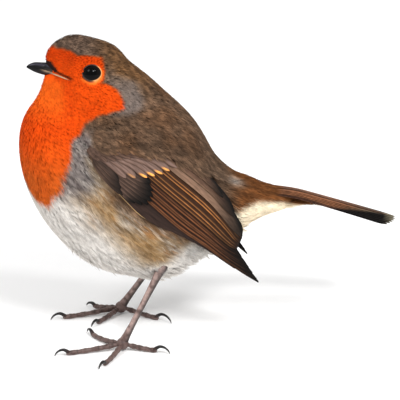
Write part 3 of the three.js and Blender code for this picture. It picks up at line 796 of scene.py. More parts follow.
def add_foot(gather, side, ball, toes):
    polar = np.linspace(0.12, math.pi - 0.12, BALL_ROWS)
    pad = globe(polar, circle(BALL_SIDES), *np.eye(3)) * (BALL_RADIUS * np.array([1, 1, 0.98]))
    knob = np.array([ball[0], side * ball[1], BALL_HEIGHT]) + pad
    gather.add(knob, rings_to_triangles(BALL_ROWS, BALL_SIDES)[:, ::-1], leg_colours(knob.reshape(-1, 3), 6), slot=1)
    for toe in toes.values():
        length = toe[2]
        distance = np.linspace(0.9, length + 0.25, TOE_STEPS)
        height = TOE_RADIUS - TOE_SOLE + TOE_RISE * (1 - np.clip(distance / length, 0, 1)) ** 2
        share = np.clip((distance - TOE_START) / (length - TOE_START), 0, 1)
        radii = TOE_RADIUS * spread(TOE_GIRTH, share) * np.where(distance > length, 0.8, 1)
        plates = round(length / TOE_PLATE)

        def scutes(along, turn):
            return 1 + 0.09 * saw(along, plates) * np.clip(np.sin(turn), 0, 1) ** 0.7 - 0.04

        points, triangles = tube(toe_point(side, ball, toe, distance, height), radii, TOE_SIDES, shape=scutes)
        points[:, 2] = np.maximum(points[:, 2], 0.02)
        upper, row = plate_shade(TOE_STEPS, TOE_SIDES, plates)
        colours = leg_colours(points, 7) * (1 - 0.35 * smooth(0.8, 1, row) * (upper > 0))[:, None]
        gather.add(points, triangles, mix(colours, SOLE_COLOUR, 0.5 * smooth(-0.3, -0.9, upper)), slot=1)


def claw_mesh(side, ball, toe):
    length, claw = toe[2:]
    arch = resample(CLAW_ARCH, CLAW_STEPS)
    path = toe_point(side, ball, toe, length + claw * arch[:, 0], TOE_RADIUS - TOE_SOLE + claw * arch[:, 1])
    return tube(path, resample(CLAW_RADII, CLAW_STEPS), CLAW_SIDES,
                shape=lambda along, turn: 1 - 0.22 * np.clip(-np.sin(turn), 0, 1) ** 2)


def thigh_axis(side, heel):
    return np.array([KNEE[0], side * KNEE[1], KNEE[2]], float), np.array([heel[0], side * heel[1], heel[2]], float)


# ---- eyelids
LID_STEPS = 72
# How far each row lies outside the eye's opening, and over the ball; then how far outside it and under the skin.
LID_ROWS = ((-0.16, -0.12), (-0.06, 0.05), (0.02, 0.17), (0.14, 0.26), (0.28, 0.24), (0.45, 0.1))
SUNK_ROWS = ((0.8, 0.02), (1.3, 0.15), (1.9, 0.3))
LID_COLOUR, LID_PALE = rgb(20, 12, 10), rgb(250, 176, 104)


def rim_radius(turn):
    """The eye opening's radius: nearly round, drawn out a little at the front corner and less at the rear."""
    front = np.exp(-((np.angle(np.exp(1j * turn)) / 0.42) ** 2))
    rear = np.exp(-((np.angle(np.exp(1j * (turn - math.pi))) / 0.5) ** 2))
    return 2.76 + 0.3 * front + 0.12 * rear - 0.3 * np.sin(turn) ** 2


def add_lids(gather, side):
    centre, outward, ahead, upward = EYES[side]
    turn = circle(LID_STEPS)
    way = np.cos(turn)[:, None] * ahead + np.sin(turn)[:, None] * upward
    rim = rim_radius(turn)
    off_centre = -0.18 * ahead - 0.02 * upward
    rows = []
    for wider, higher in LID_ROWS:
        flat = way * (rim + wider)[:, None] + off_centre
        rise = np.sqrt(np.maximum(EYE_RADIUS**2 - (flat**2).sum(1), 0.2)) + higher
        rows.append(centre + flat + outward * rise[:, None])
    for wider, sunk in SUNK_ROWS:
        start = centre + off_centre + way * (rim + wider)[:, None] + outward * 2.4
        rows.append(settle(start, -coat_depth(start) - sunk, 4))
    points = np.concatenate(rows)
    triangles = rings_to_triangles(len(rows), LID_STEPS, caps=False)[:, ::-side]
    outer = np.repeat(np.arange(len(rows)), LID_STEPS)
    # The rim is pale behind the eye and under it.
    behind = smooth(0.2, 0.9, np.tile(0.2 - 0.95 * np.cos(turn) - 0.3 * np.sin(turn), len(rows)))
    colours = mix(LID_COLOUR, LID_PALE, smooth(1, 3, outer) * lerp(0.1, 1, behind))
    gather.add(points, triangles, mix(colours, markings(points), smooth(3.5, 6.5, outer)), slot=2)


# ---- the skin piece
THIGH_STEPS = 24
skin = Gather()
# The skin shows only in the coat's gaps. It is darker away from the bill, where the coat is deeper: painted shade of
# the coat's depth.
skin_tone = lerp(1.0, 0.8, smooth(28, 60, from_bill(skin_points)))
skin.add(skin_points, skin_triangles, markings(skin_points) * skin_tone[:, None])
for side in (-1, 1):
    add_lids(skin, side)
for name, (side, heel, ball, toes) in FEET.items():
    down = np.linspace(0, 1, THIGH_STEPS)
    path = lerp(*thigh_axis(side, heel), np.linspace(0, 1.03, THIGH_STEPS)[:, None])
    points, triangles = tube(path, spread(THIGH_RADII, down) - lerp(1.0, 0.35, down), 20, up=(-1, 0, 0.5))
    skin.add(points, triangles, mix(markings(points) * 0.85, LEG_DARK, smooth(29, 25.5, points[:, 2])))
    add_shank(skin, side, heel, ball)
    add_foot(skin, side, ball, toes)
skin_piece = skin.build("robin_skin", [PLUMAGE_MATERIAL, LEG_MATERIAL, LID_MATERIAL], mapped=False)
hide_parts("head", "neck", "trunk", "rump", "tail_coverts")
for name, (side, heel, ball, toes) in FEET.items():
    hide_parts("thigh_" + name, "shank_" + name, "foot_" + name, *[f"toe_{name}_{toe}" for toe in toes])
    claws = Gather()
    tip = np.repeat(np.linspace(0, 1, CLAW_STEPS), CLAW_SIDES)
    for toe in toes.values():
        claws.add(*claw_mesh(side, ball, toe), mix(LEG_DARK, CLAW_COLOUR, smooth(0, 0.35, tip)))
    piece = claws.build(f"claws_{name}_horn", [CLAW_MATERIAL], mapped=False)
    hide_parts(*[f"claw_{name}_{toe}" for toe in toes])

# ---- eyes
IRIS, PUPIL = rgb(8, 5, 4), rgb(1, 1, 1)
EYE_ROWS, EYE_SIDES = 40, 64
for side, name in ((-1, "left"), (1, "right")):
    centre, outward, ahead, upward = EYES[side]
    polar = np.linspace(0.01, math.pi - 0.01, EYE_ROWS)
    bulge = 1 + 0.03 * smooth(0.75, 0.2, polar)
    ball = centre + globe(polar, circle(EYE_SIDES), ahead, upward, outward) * (EYE_RADIUS * bulge)[:, None, None]
    radius = np.repeat(EYE_RADIUS * np.sin(polar), EYE_SIDES)
    eye = Gather()
    eye.add(ball, rings_to_triangles(EYE_ROWS, EYE_SIDES)[:, ::side], mix(PUPIL, IRIS, smooth(1.55, 1.8, radius)))
    piece = eye.build(f"eye_{name}_ball", [EYE_MATERIAL], mapped=False)
    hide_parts("eye_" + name)

# ---- bill
# Stations from the tip back: x, culmen, gape line, gonys and half width.
BILL = np.array([
    (-56.3, 94.4, 94.15, 93.9, 0.3), (-55.3, 95.1, 94.2, 93.25, 0.7), (-53.6, 95.6, 94.1, 92.3, 1.2),
    (-51.4, 95.45, 93.7, 91.5, 1.85), (-49, 95.3, 93.1, 90.9, 2.6), (-46, 95.2, 92.4, 90.4, 3.3),
])
BILL_ROWS, BILL_ARC = 46, 21
BILL_BLACK, BILL_PAINTED_SHEEN, BILL_PALE = rgb(12, 11, 13), rgb(56, 54, 66), rgb(158, 134, 108)
# The soft flange at the corner of the mouth: places along it, half its thickness and its colours.
GAPE_X, GAPE_Z = (-49.6, -46.5, -44.7, -42.4), (92.75, 92.15, 91.75, 91.35)
GAPE_STEPS, GAPE_SIDES, GAPE_RADIUS = 18, 10, 0.33
GAPE_COLOUR, GAPE_FRONT = rgb(170, 142, 112), rgb(96, 86, 80)


def bill_half(upper):
    angle = np.linspace(0, math.pi, BILL_ARC)
    rise = np.sin(angle) ** 0.85
    # The sides are drawn in above the cutting edge, so that the culmen stands as a rounded ridge.
    waist = 1 - 0.12 * np.sin(2 * np.minimum(angle, math.pi - angle)) ** 2
    near_edge = smooth(0.5, 0.1, rise)
    points, colours = [], []
    for i, (x, culmen, gape, gonys, wide) in enumerate(resample(BILL, BILL_ROWS)):
        edge = gape + (0.04 if upper else -0.04)
        ridge = max(culmen, edge + 0.12) if upper else min(gonys, edge - 0.1)
        hook = 0.22 * smooth(4, 0, i) if upper else 0
        z = edge + (ridge - edge) * rise - hook * (1 - rise)
        points.append(np.stack([np.full(BILL_ARC, x), wide * np.cos(angle) * waist, z], 1))
        if upper:
            # A blue-grey band along the upper mandible's side is a painted sheen, a painted reflection.
            colour = mix(BILL_BLACK, BILL_PAINTED_SHEEN, 0.9 * np.exp(-(((rise - 0.72) / 0.22) ** 2)) * smooth(4, 12, i))
            colours.append(mix(colour, BILL_PALE, 0.3 * near_edge * smooth(24, 38, i)))
        else:
            colours.append(mix(BILL_BLACK, BILL_PALE, smooth(21, 32, i) * lerp(0.12, 0.85, near_edge)))
    points, colours = np.concatenate(points), np.concatenate(colours)
    if upper:
        # The nostril: a slit sunk into each side near the feathers, darkened inside with painted shade.
        nostril = np.exp(-(((points[:, 0] + 50.3) / 0.85) ** 2) - ((points[:, 2] - 94.55) / 0.28) ** 2)
        points[:, 1] -= np.sign(points[:, 1]) * 0.35 * nostril
        colours = colours * (1 - 0.6 * nostril)[:, None]
    return points, rings_to_triangles(BILL_ROWS, BILL_ARC)[:, ::-1 if upper else 1], colours


def add_flange(gather, side):
    x = np.linspace(GAPE_X[0], GAPE_X[-1], GAPE_STEPS)
    path = np.stack([x, np.full(GAPE_STEPS, side * 2.2), np.interp(x, GAPE_X, GAPE_Z)], 1)
    for _ in range(6):
        path[:, 1] -= side * (form(path) + 0.12)
    path[:3, 1] = lerp(side * 2.3, path[3, 1], np.linspace(0, 0.8, 3))
    radii = GAPE_RADIUS * np.sin(np.linspace(0.35, 2.95, GAPE_STEPS))
    back = np.repeat(np.linspace(0, 1, GAPE_STEPS), GAPE_SIDES)
    fleshy = mix(GAPE_FRONT, GAPE_COLOUR, smooth(0.05, 0.35, back))
    gather.add(*tube(path, radii, GAPE_SIDES, flat=0.7), mix(fleshy, ORANGE_DEEP * 0.8, smooth(0.75, 1, back)))


for half, upper in (("upper", True), ("lower", False)):
    bill = Gather()
    bill.add(*bill_half(upper))
    for side in () if upper else (-1, 1):
        add_flange(bill, side)
    piece = bill.build(f"bill_{half}_horn", [HORN_MATERIAL], mapped=False)
    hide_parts("bill_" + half)

# ---- coat
NOWHERE = 99
SCATTER_CELL, COAT_TRIES, DEEPEST_ROOT = 1.2, 90000, -6
# How far tufts lie over the wing's sheet or beneath it, and how far round the eye's middle there are none.
TUFTS_OVER, TUFTS_BENEATH, EYE_BARE = 1.6, 0.45, 3.35
# For places in the side view (x, z): the spacing of feathers, their length, half width and number of barbs,
# how far the tips stand out, how unevenly they lie (degrees), and how far the barbs gather to a point.
COAT = np.array([
    (-49, 94, 0.48, 1.5, 0.36, 6, 0.0, 6, 0),  # lore
    (-44, 98, 0.56, 1.9, 0.45, 7, 0.0, 7, 0),  # forehead
    (-35, 103, 0.75, 3.0, 0.75, 10, 0.02, 8, 0),  # crown
    (-36, 87, 0.68, 2.8, 0.65, 9, 0.0, 7, 0),  # cheek
    (-47, 87, 0.68, 2.8, 0.65, 9, 0.0, 6, 0),  # chin
    (-46, 80, 0.85, 4.4, 1.05, 12, 0.0, 7, 0),  # throat
    (-26, 92, 0.9, 4.6, 1.15, 12, 0.03, 8, 0),  # nape
    (-18, 78, 1.1, 6.0, 1.6, 15, 0.05, 8, 0),  # upper mantle
    (-5, 66, 1.25, 7.5, 2.0, 17, 0.06, 8, 0),  # mantle
    (5, 55, 1.25, 8.5, 1.9, 17, 0.05, 9, 0),  # rump
    (-52, 62, 1.1, 7.0, 1.7, 16, 0.0, 7, 0),  # breast
    (-40, 60, 1.2, 8.0, 1.8, 16, 0.03, 10, 0.1),  # breast side
    (-40, 42, 1.3, 9.5, 2.1, 17, 0.05, 11, 0.1),  # belly
    (-22, 38, 1.3, 10.0, 2.1, 17, 0.06, 12, 0.2),  # flank
    (-14, 27, 1.3, 9.0, 1.7, 16, 0.5, 17, 0.6),  # lower belly
    (4, 31, 1.3, 9.5, 1.7, 17, 0.6, 14, 0.6),  # vent
    (16, 46, 1.1, 11.0, 1.7, 17, 0.0, 5, 0),  # tail coverts
])


def scatter(points, triangles, spacing, tries):
    """Places on a mesh, no two nearer than the spacing where they are."""
    a, b, c = (points[triangles[:, m]] for m in range(3))
    areas = np.linalg.norm(np.cross(b - a, c - a), axis=1)
    share = np.cumsum(areas / np.maximum(spacing((a + b + c) / 3), 0.2) ** 2)
    pick = np.searchsorted(share, rng.random(tries) * share[-1])
    u, v = rng.random((2, tries, 1))
    u, v = np.where(u + v > 1, 1 - u, u), np.where(u + v > 1, 1 - v, v)
    places = a[pick] + u * (b[pick] - a[pick]) + v * (c[pick] - a[pick])
    grid, kept = {}, []
    for i, ((x, y, z), gap) in enumerate(zip(places.tolist(), spacing(places).tolist())):
        if gap >= NOWHERE:
            continue
        key = int(x // SCATTER_CELL), int(y // SCATTER_CELL), int(z // SCATTER_CELL)
        reach = int(gap // SCATTER_CELL) + 1
        cells = itertools.product(*(range(k - reach, k + reach + 1) for k in key))
        near = itertools.chain.from_iterable(grid.get(cell, ()) for cell in cells)
        if not any((p - x)**2 + (q - y)**2 + (r - z)**2 < gap * gap for p, q, r in near):
            grid.setdefault(key, []).append((x, y, z))
            kept.append(i)
    return places[kept]


def coat_values(points):
    """The coat's values at points: the nearer a row of the table, the more it counts."""
    weight = 1 / (((points[:, None, [0, 2]] - COAT[:, :2]) ** 2).sum(2) + 9) ** 1.5
    return weight @ COAT[:, 2:] / weight.sum(1, keepdims=True)


def over_wings(points):
    """Whether feathers rooted at the places lie over the folded wings and not under them."""
    s, t = wing_place(points)
    past = t > mantle_edge(s) + lerp(0.2, 1.4, np.clip(s / 16, 0, 1))
    return past & (s > -4) & (s < 44) & (np.abs(points[:, 1]) > 5)


def hidden(points):
    """Whether places lie well inside the folded wings, where no feather is seen."""
    s, t = wing_place(points)
    return (wing_margin(s, t) > 3.2) & (np.abs(points[:, 1]) > 8) & (s < 62)


def coat_spacing(points):
    x, y, z = points.T
    in_bill = (x < -47.0) & (z > 90.6) & (z < 95.6) & (np.abs(y) < 2.7)
    bare = (hidden(points) & ~over_wings(points)) | (from_eye(points) < EYE_BARE) | in_bill
    return np.where(bare, NOWHERE, coat_values(points)[:, 0])


def leg_axes(points):
    """For each leg and the height of each point: side, share of the way down, and the axis's x and distance out."""
    for side, heel, ball, toes in FEET.values():
        share = (heel[2] - points[:, 2]) / (heel[2] - BALL_HEIGHT)
        yield side, share, lerp(heel[0], ball[0], share), lerp(heel[1], ball[1], share)


def behind_legs(points):
    """Draws feathers that would cover the tops of the legs in behind them."""
    moved = points.copy()
    for side, share, x, out in leg_axes(points):
        beside = smooth(3.4, 2.0, np.abs(points[:, 0] - x)) * smooth(28.4, 27, points[:, 2])
        width = out + LEG_SPLAY[side] * np.clip(-share, 0, LEG_SPLAY_END) - 1.3
        moved[:, 1] -= side * (np.maximum(side * points[:, 1] - width, 0) * beside)
    return moved


def clear_of_legs(points):
    """Whether points lie away from the legs' axes, seen from above."""
    return np.minimum(*(np.hypot(points[:, 0] - x, points[:, 1] - side * out)
                        for side, share, x, out in leg_axes(points))) > 4


# A barb is a closed spike of two three-cornered rings and a point.
BARB_TRIANGLES = np.array([
    (0, 2, 1), (0, 1, 4), (0, 4, 3), (1, 2, 5), (1, 5, 4), (2, 0, 3), (2, 3, 5), (3, 4, 6), (4, 5, 6), (5, 3, 6),
])
BARB_POINTS = [0, 0, 0, 1, 1, 1, 2]


def fan(length, half, number, gather):
    """Each feather's barbs: whose they are, three places along (as shares) and across, and their breadth."""
    count = len(length)
    barbs = np.maximum(np.round(number * rng.uniform(0.85, 1.15, count)).astype(int), 3)
    feather = np.repeat(np.arange(count), barbs)
    order = np.arange(len(feather)) - np.repeat(np.cumsum(barbs) - barbs, barbs)
    lateral = (order + 0.5) / barbs[feather] * 2 - 1 + rng.uniform(-0.1, 0.1, len(feather))
    tip = 1 - 0.38 * lateral**2 - rng.uniform(0, 0.16, len(feather))
    start = 0.05 + 0.36 * (1 - np.abs(lateral))
    side_tip = half[feather] * lateral * rng.uniform(0.85, 1.15, len(feather))
    gathered = gather[feather]
    along = np.stack([start, lerp(start, tip, 0.5), tip], 1)
    across = np.stack([side_tip * 0.12, side_tip * (0.72 - 0.1 * gathered), side_tip * (1 - gathered)], 1)
    broad = half[feather] / barbs[feather] * rng.uniform(0.95, 1.35, len(feather))
    return feather, along, across, broad


def spikes_on(middle, normal, broad, ridge):
    """Spikes along three places each, flat against the normals, with a ridge of that share of their breadth."""
    aim = unit(np.stack([middle[:, 1] - middle[:, 0], middle[:, 2] - middle[:, 0]], 1))
    sideways = unit(np.cross(normal[:, :2], aim))
    ring = []
    for m, share in enumerate((0.8, 1)):
        width = (broad * share)[:, None]
        centre, side, out = middle[:, m], sideways[:, m] * width, normal[:, m] * width * ridge[:, None]
        ring += [centre - side, centre + side, centre + out]
    return np.stack(ring + [middle[:, 2]], 1)


def dressed(middle, normal, broad, roots, feather, along, across, half, colour, tone):
    """A fan's spikes with their colours and map places."""
    shade = colour(middle.reshape(-1, 3)).reshape(-1, 3, 3)
    own = (1 + tone * rng.normal(0, 1, len(roots)))[feather] * (1 + 0.05 * rng.normal(0, 1, len(feather)))
    # The bib's feathers differ less from each other and from root to tip.
    soft = 1 - 0.85 * smooth(130, 190, shade[:, :1, :1])
    own = 1 + (own[:, None, None] - 1) * lerp(0.4, 1, soft)
    # Each barb is darker at its root and a little lighter at its tip: partly the feathers' own greyer down, partly
    # painted shade of the coat's depth.
    shade = shade * own * (1 + np.array([-0.26, -0.05, 0.03])[None, :, None] * soft)
    local = np.stack([across / half[feather][:, None], along * 2 - 1], -1)[:, BARB_POINTS] * PATCH / 2
    local[:, [0, 3], 0] -= PATCH * 0.03
    local[:, [1, 4], 0] += PATCH * 0.03
    ridge = lerp(0.12, 0.4, smooth(16, 60, from_bill(roots)))[feather]
    return spikes_on(middle, normal, broad, ridge), shade[:, BARB_POINTS], unwrap(roots)[feather][:, None] + local


def body_tufts(roots):
    """Feathers at the roots, lying along the body's form, and which feather each barb belongs to."""
    count = len(roots)
    over = over_wings(roots)
    length, half, number, stand, uneven, gather = coat_values(roots).T[1:]
    length = length * rng.uniform(0.85, 1.15, count) * lerp(0.5, 1, smooth(3.3, 6.5, from_eye(roots)))
    steep = unit(slope(roots))
    way = lie(roots, steep)
    turn = np.radians(uneven) * rng.normal(0, 1, count)
    way = way * np.cos(turn)[:, None] + np.cross(steep, way) * np.sin(turn)[:, None]
    depth = coat_depth(roots)
    stations, ways = [roots], [way]
    for _ in range(2):
        after = settle(stations[-1] + ways[-1] * (length / 2)[:, None], -depth * 0.5)
        steep_there = unit(slope(after))
        stations.append(after)
        ways.append(square_to(unit(lerp(lie(after, steep_there), ways[-1], 0.35)), steep_there))
    stations, ways = np.stack(stations, 1), np.stack(ways, 1)
    feather, along, across, broad = fan(length, half, number, gather)
    # The face's barbs are broader for their number, so that they close up.
    broad = broad * lerp(1.4, 1, smooth(15, 50, from_bill(roots)))[feather]
    piece = np.clip(along * 2, 0, 1.999)
    which, rows = piece.astype(int), feather[:, None]
    part = (piece - which)[..., None]
    middle, aim = (line[rows, which] * (1 - part) + line[rows, which + 1] * part for line in (stations, ways))
    normal = unit(slope(middle.reshape(-1, 3))).reshape(middle.shape)
    middle = middle + np.cross(normal, unit(aim)) * across[..., None]
    rise = np.array([0.15, 0.78, 1.0])[None]
    stand_out = (stand * rng.uniform(0.0, 2.0, count))[feather] + rng.normal(0, 0.03, len(feather)) * depth[feather]
    level = -depth[feather][:, None] * (1 - rise) + stand_out[:, None] * rise**3 - 0.12
    middle = settle(middle.reshape(-1, 3), level.reshape(-1))
    beneath = behind_legs(tuck(middle, TUFTS_BENEATH))
    middle = np.where(over[feather].repeat(3)[:, None], lay_over(middle, TUFTS_OVER), beneath)
    normal = unit(slope(middle)).reshape(-1, 3, 3)
    middle = middle.reshape(-1, 3, 3)
    return dressed(middle, normal, broad, roots, feather, along, across, half, markings, 0.045), feather


def free_tufts(roots, ways, normals, length, half, number, gather, droop, markings_factor):
    """Feathers at the roots that run straight their ways, or droop against their normals by a share."""
    count = len(roots)
    half = np.full(count, half)
    feather, along, across, broad = fan(np.full(count, length), half, np.full(count, number), np.full(count, gather))
    ways, normals, sideways = (axis[feather][:, None] for axis in (ways, normals, np.cross(normals, ways)))
    run = along * length * (1 + 0.12 * rng.normal(0, 1, count))[feather][:, None]
    middle = roots[feather][:, None] + ways * run[..., None] + sideways * across[..., None]
    middle = middle - normals * (droop * length * along**2)[..., None]
    return dressed(middle, np.repeat(normals, 3, 1), broad, roots, feather, along, across, half,
                   lambda p: markings(p) * markings_factor, 0.05)


def coat_piece(name, slot, spikes, shades, places):
    coat = Gather()
    triangles = BARB_TRIANGLES[None] + 7 * np.arange(len(spikes))[:, None, None]
    coat.add(spikes, triangles, shades.reshape(-1, 3), places)
    return coat.build(name, [PLUMAGE_MATERIAL], smooth_faces=False)


# The coat's pieces, where each lies among the roots that the ones before have left, and whether it has two halves.
COAT_PIECES = [
    ("face", "plumage_orange", True, lambda x, z: (z > 80 + 0.6 * (x + 30)) & (x < -31) & (z < 98)),
    ("crown", "plumage_brown", False, lambda x, z: (z > 88) & (z > 88 + 0.8 * (x + 30))),
    ("breast", "plumage_orange", True, lambda x, z: (x < -38 + 0.2 * (z - 60)) & (z > 46)),
    ("mantle", "plumage_brown", True, lambda x, z: (z > 60 - 0.9 * (x + 20)) & (x < 20)),
    ("belly", "plumage_pale", True, lambda x, z: x < 0),
    ("rump", "plumage_brown", False, lambda x, z: x < NOWHERE),
]
coat_roots = scatter(bare_points, skin_triangles, coat_spacing, COAT_TRIES)
coat_roots = coat_roots[form(coat_roots) > DEEPEST_ROOT]
tufts, owner = body_tufts(coat_roots)
left_over = np.ones(len(coat_roots), bool)
for region, slot, halved, chosen in COAT_PIECES:
    for half in ("_left", "_right") if halved else ("",):
        mine = left_over & chosen(coat_roots[:, 0], coat_roots[:, 2]) & ((coat_roots[:, 1] < 0) | (half != "_left"))
        left_over &= ~mine
        coat_piece("coat_" + region + half, slot, *(values[mine[owner]] for values in tufts))

# The feathered lower thighs, from the knee down, as shares of the way to the heel. A tuft is its length, half
# width, barbs, how far they gather, droop and a factor on the brightness of the markings.
THIGH_COVER = {"left": (0.1, 0.6), "right": (0.3, 0.95)}
THIGH_COUNT, THIGH_TUFT = 150, (3.6, 0.9, 9, 0.5, 0.05, 0.93)
for name, (side, heel, ball, toes) in FEET.items():
    knee, low = thigh_axis(side, heel)
    share, turn = rng.uniform(*THIGH_COVER[name], THIGH_COUNT), rng.uniform(0, 2 * math.pi, THIGH_COUNT)
    along = unit(low - knee)
    across = unit(np.cross(along, [1.0, 0, 0]))
    radial = np.cos(turn)[:, None] * across + np.sin(turn)[:, None] * np.cross(along, across)
    roots = lerp(knee, low, share[:, None]) + radial * (spread(THIGH_RADII, share) - 0.7)[:, None]
    ways = unit(along + radial * 0.12 + rng.normal(0, 0.1, roots.shape))
    coat_piece("coat_thigh_" + name, "plumage_pale", *free_tufts(roots, ways, square_to(radial, ways), *THIGH_TUFT))


def hang(name, steepness, below, span, count, jitter, level, outward, uneven, tuft):
    """A piece of loose feathers rooted on the under side, below a height and in a span of x."""
    x, y, z = bare_points.T
    rooted = (unit(slope(bare_points))[:, 2] < steepness) & (z < below) & (x > span[0]) & (x < span[1])
    roots = bare_points[rng.choice(np.flatnonzero(rooted), count, replace=False)]
    if jitter:
        roots = roots + rng.normal(0, jitter, roots.shape)
    roots = settle(roots, level)
    roots = roots[clear_of_legs(roots) & clear_of_legs(roots + [2.5, 0, -2.0])]
    steep = unit(slope(roots))
    ways = unit(lie(roots, steep) + steep * rng.uniform(*outward, (len(roots), 1)) + rng.normal(0, uneven, roots.shape))
    coat_piece(name, "plumage_pale", *free_tufts(roots, ways, square_to(steep, ways), *tuft))


# loose tips that hang from the belly and the vent, and longer wisps behind the legs
hang("coat_belly_tips", -0.25, 36, (-50, 8), 640, 0.4, -0.9, (0.1, 0.42), 0.14, (4.4, 1.2, 9, 0.75, 0.03, 0.94))
hang("coat_vent_wisps", -0.1, 38, (-8, 12), 200, 0, -0.7, (0.3, 1.0), 0.16, (6.0, 1.4, 12, 0.88, 0.03, 0.97))

# the long feathers under the tail
UNDERTAIL_END = np.array([43.0, 0, 41.9])
UNDERTAIL_COUNT, UNDERTAIL_TUFT = 260, (12.0, 1.5, 15, 0.2, 0.02, 1)
share = rng.uniform(0, 1, UNDERTAIL_COUNT)
aside = rng.uniform(-1, 1, UNDERTAIL_COUNT) * lerp(4.6, 2.6, share)
roots = np.stack([lerp(12, 31, share), aside, lerp(41.0, 44.6, share)], 1)
roots[:, 2] += 0.1 * aside**2 + rng.uniform(0, 1.6, UNDERTAIL_COUNT)
ways = unit(UNDERTAIL_END + roots * [0, 0.55, 0.12] - [0, 0, 5.0] - roots + rng.normal(0, 0.5, roots.shape))
normals = square_to(unit(np.array([0, 0, -1.0]) + roots * [0, 0.22, 0]), ways)
coat_piece("coat_undertail", "plumage_pale", *free_tufts(roots, ways, normals, *UNDERTAIL_TUFT))

# ---- vanes of the wings and tail
# A vane's points lie in columns across it (-1 and 1 are its edges) at stations along it.
COLUMNS = np.array([-1, -0.86, -0.5, -0.14, 0, 0.14, 0.5, 0.86, 1])
ON_SHAFT = np.exp(-((COLUMNS / 0.1) ** 2))
VANE_STATIONS = 26
VANE_THICKNESS, SHAFT_HEIGHT, SHAFT_DEPTH = 0.07, 0.07, 0.06
MAP_STRIPS = 16


def vane(gather, place, shaft, outer, inner, height, colour, tilt=0.12, tip=0.3, pointed=1.0, seed=0):
    """One feather's whole vane. shaft is a few (s, t); outer and inner are the two webs' widths, outer being
    towards -t; height is that of the outer edge; tip is the share of the length that narrows to the end."""
    line = resample(shaft, VANE_STATIONS)
    outer, inner = ((resample(w, VANE_STATIONS) if np.ndim(w) else np.full(VANE_STATIONS, w))[:, None]
                    for w in (outer, inner))
    u = np.linspace(0, 1, VANE_STATIONS)[:, None]
    way = unit(np.gradient(line, axis=0))[:, None]
    across = way[..., ::-1] * [-1, 1]
    inward = np.clip((u - (1 - tip)) / tip, 0, 1)
    swell = (0.55 + 0.45 * smooth(0, 0.3, u)) * np.maximum(1 - inward ** (1.6 + pointed), 0.04) ** 0.6
    x = COLUMNS * np.where(COLUMNS < 0, outer, inner) * swell
    backward = -0.35 * np.abs(x) * inward
    plan = line[:, None] + across * x[..., None] + way * backward[..., None]
    raised = height - tilt * (x + outer) + SHAFT_HEIGHT * ON_SHAFT
    raised = raised + 0.05 * np.sin(7 * u + seed) * (x / (outer + inner))
    thin = VANE_THICKNESS * (1 - 0.6 * np.abs(COLUMNS)) + SHAFT_DEPTH * ON_SHAFT
    top, bottom = (place(plan[..., 0], plan[..., 1], level) for level in (raised, raised - thin))
    ring = np.concatenate([top, bottom[:, ::-1]], 1)
    size = ring.shape[1]
    uu, cc = np.broadcast_arrays(u, COLUMNS)
    shades = colour(uu.ravel(), cc.ravel(), plan.reshape(-1, 2)).reshape(VANE_STATIONS, -1, 3)
    # The under side takes the upper side's colours, darker: painted shade.
    shades = np.concatenate([shades, shades[:, ::-1] * 0.75], 1)
    # On the map the vane is unrolled into a strip of its own, the under side beside the upper side.
    triangles = rings_to_triangles(VANE_STATIONS, size)
    steps = np.abs(np.diff(np.concatenate([x, x[:, ::-1], x[:, :1]], 1), axis=1)) + 0.02
    strip = np.concatenate([np.zeros((VANE_STATIONS, 1)), np.cumsum(steps, 1)], 1)
    row, column = triangles // size, triangles % size
    closing = (column == size - 1).any(1) & (column == 0).any(1)
    column = np.where(closing[:, None] & (column == 0), size, column)
    cell = np.array([gather.vanes % MAP_STRIPS / MAP_STRIPS, gather.vanes // MAP_STRIPS * 0.5])
    places = cell + np.stack([strip[row, column] / strip.max() * 0.9 / MAP_STRIPS, 0.01 + 0.48 * u[row, 0]], -1)
    gather.vanes += 1
    gather.add(ring, triangles, shades.reshape(-1, 3), places, by_corner=True)


def vane_colour(base, edge, edge_share, dark, tip_dark_and_shade=0.0, spot=0.0, edge_until=2.0):
    """Colours a vane: an edge along its outer web, a dark inner web, shaft and tip, and a spot at its tip. The dark
    inner web and tip are partly the feather's own colour and partly painted shade where the next feather overlaps it
    and between the tips.
    """
    def colour(u, c, plan):
        shade = base * (1 - (1 - dark) * smooth(0.05, 0.9, c))[:, None]
        shade = shade * (1 - 0.12 * smooth(-0.1, -0.6, c) * smooth(0.9, 0.2, u))[:, None]
        shade = shade * (1 - 0.2 * np.exp(-((c / 0.12) ** 2)))[:, None]
        on_edge = smooth(-edge_share + 0.1, -edge_share, c) * smooth(1.0, 0.9, u)
        shade = mix(shade, edge, on_edge * smooth(edge_until, edge_until - 0.1, u))
        shade = shade * lerp(0.84, 1, smooth(3, 12, plan[:, 0]))[:, None]
        shade = shade * (1 - tip_dark_and_shade * smooth(0.55, 1, u))[:, None]
        wide = lerp(0.2, 0.75, smooth(0.78, 1, u))
        shade = mix(shade, SPOT, spot * (smooth(0.76, 0.86, u) * smooth(wide, 0.5 * wide, np.abs(c + 0.4))))
        return shade * (1 + 0.05 * np.sin(9 * u + 3 * c))[:, None]

    return colour


PRIMARY, PRIMARY_EDGE, SECONDARY, SECONDARY_EDGE = rgb(46, 27, 17), rgb(92, 56, 34), rgb(60, 37, 23), rgb(150, 98, 54)
TERTIAL, TERTIAL_PAINTED_SHADE, TERTIAL_EDGE = rgb(124, 96, 78), rgb(92, 68, 54), rgb(138, 108, 86)
LOW_VANE, EDGE_CREAM, SPOT = rgb(50, 36, 31), rgb(226, 186, 128), rgb(246, 164, 80)
CARPAL, CARPAL_EDGE, ALULA_EDGE = rgb(70, 54, 46), rgb(88, 68, 58), rgb(96, 72, 58)
GREATER, GREATER_EDGE = rgb(120, 96, 86), rgb(88, 67, 57)
LESSER, LESSER_EDGE, MEDIAN_EDGE = rgb(100, 76, 64), rgb(104, 78, 62), rgb(76, 57, 48)

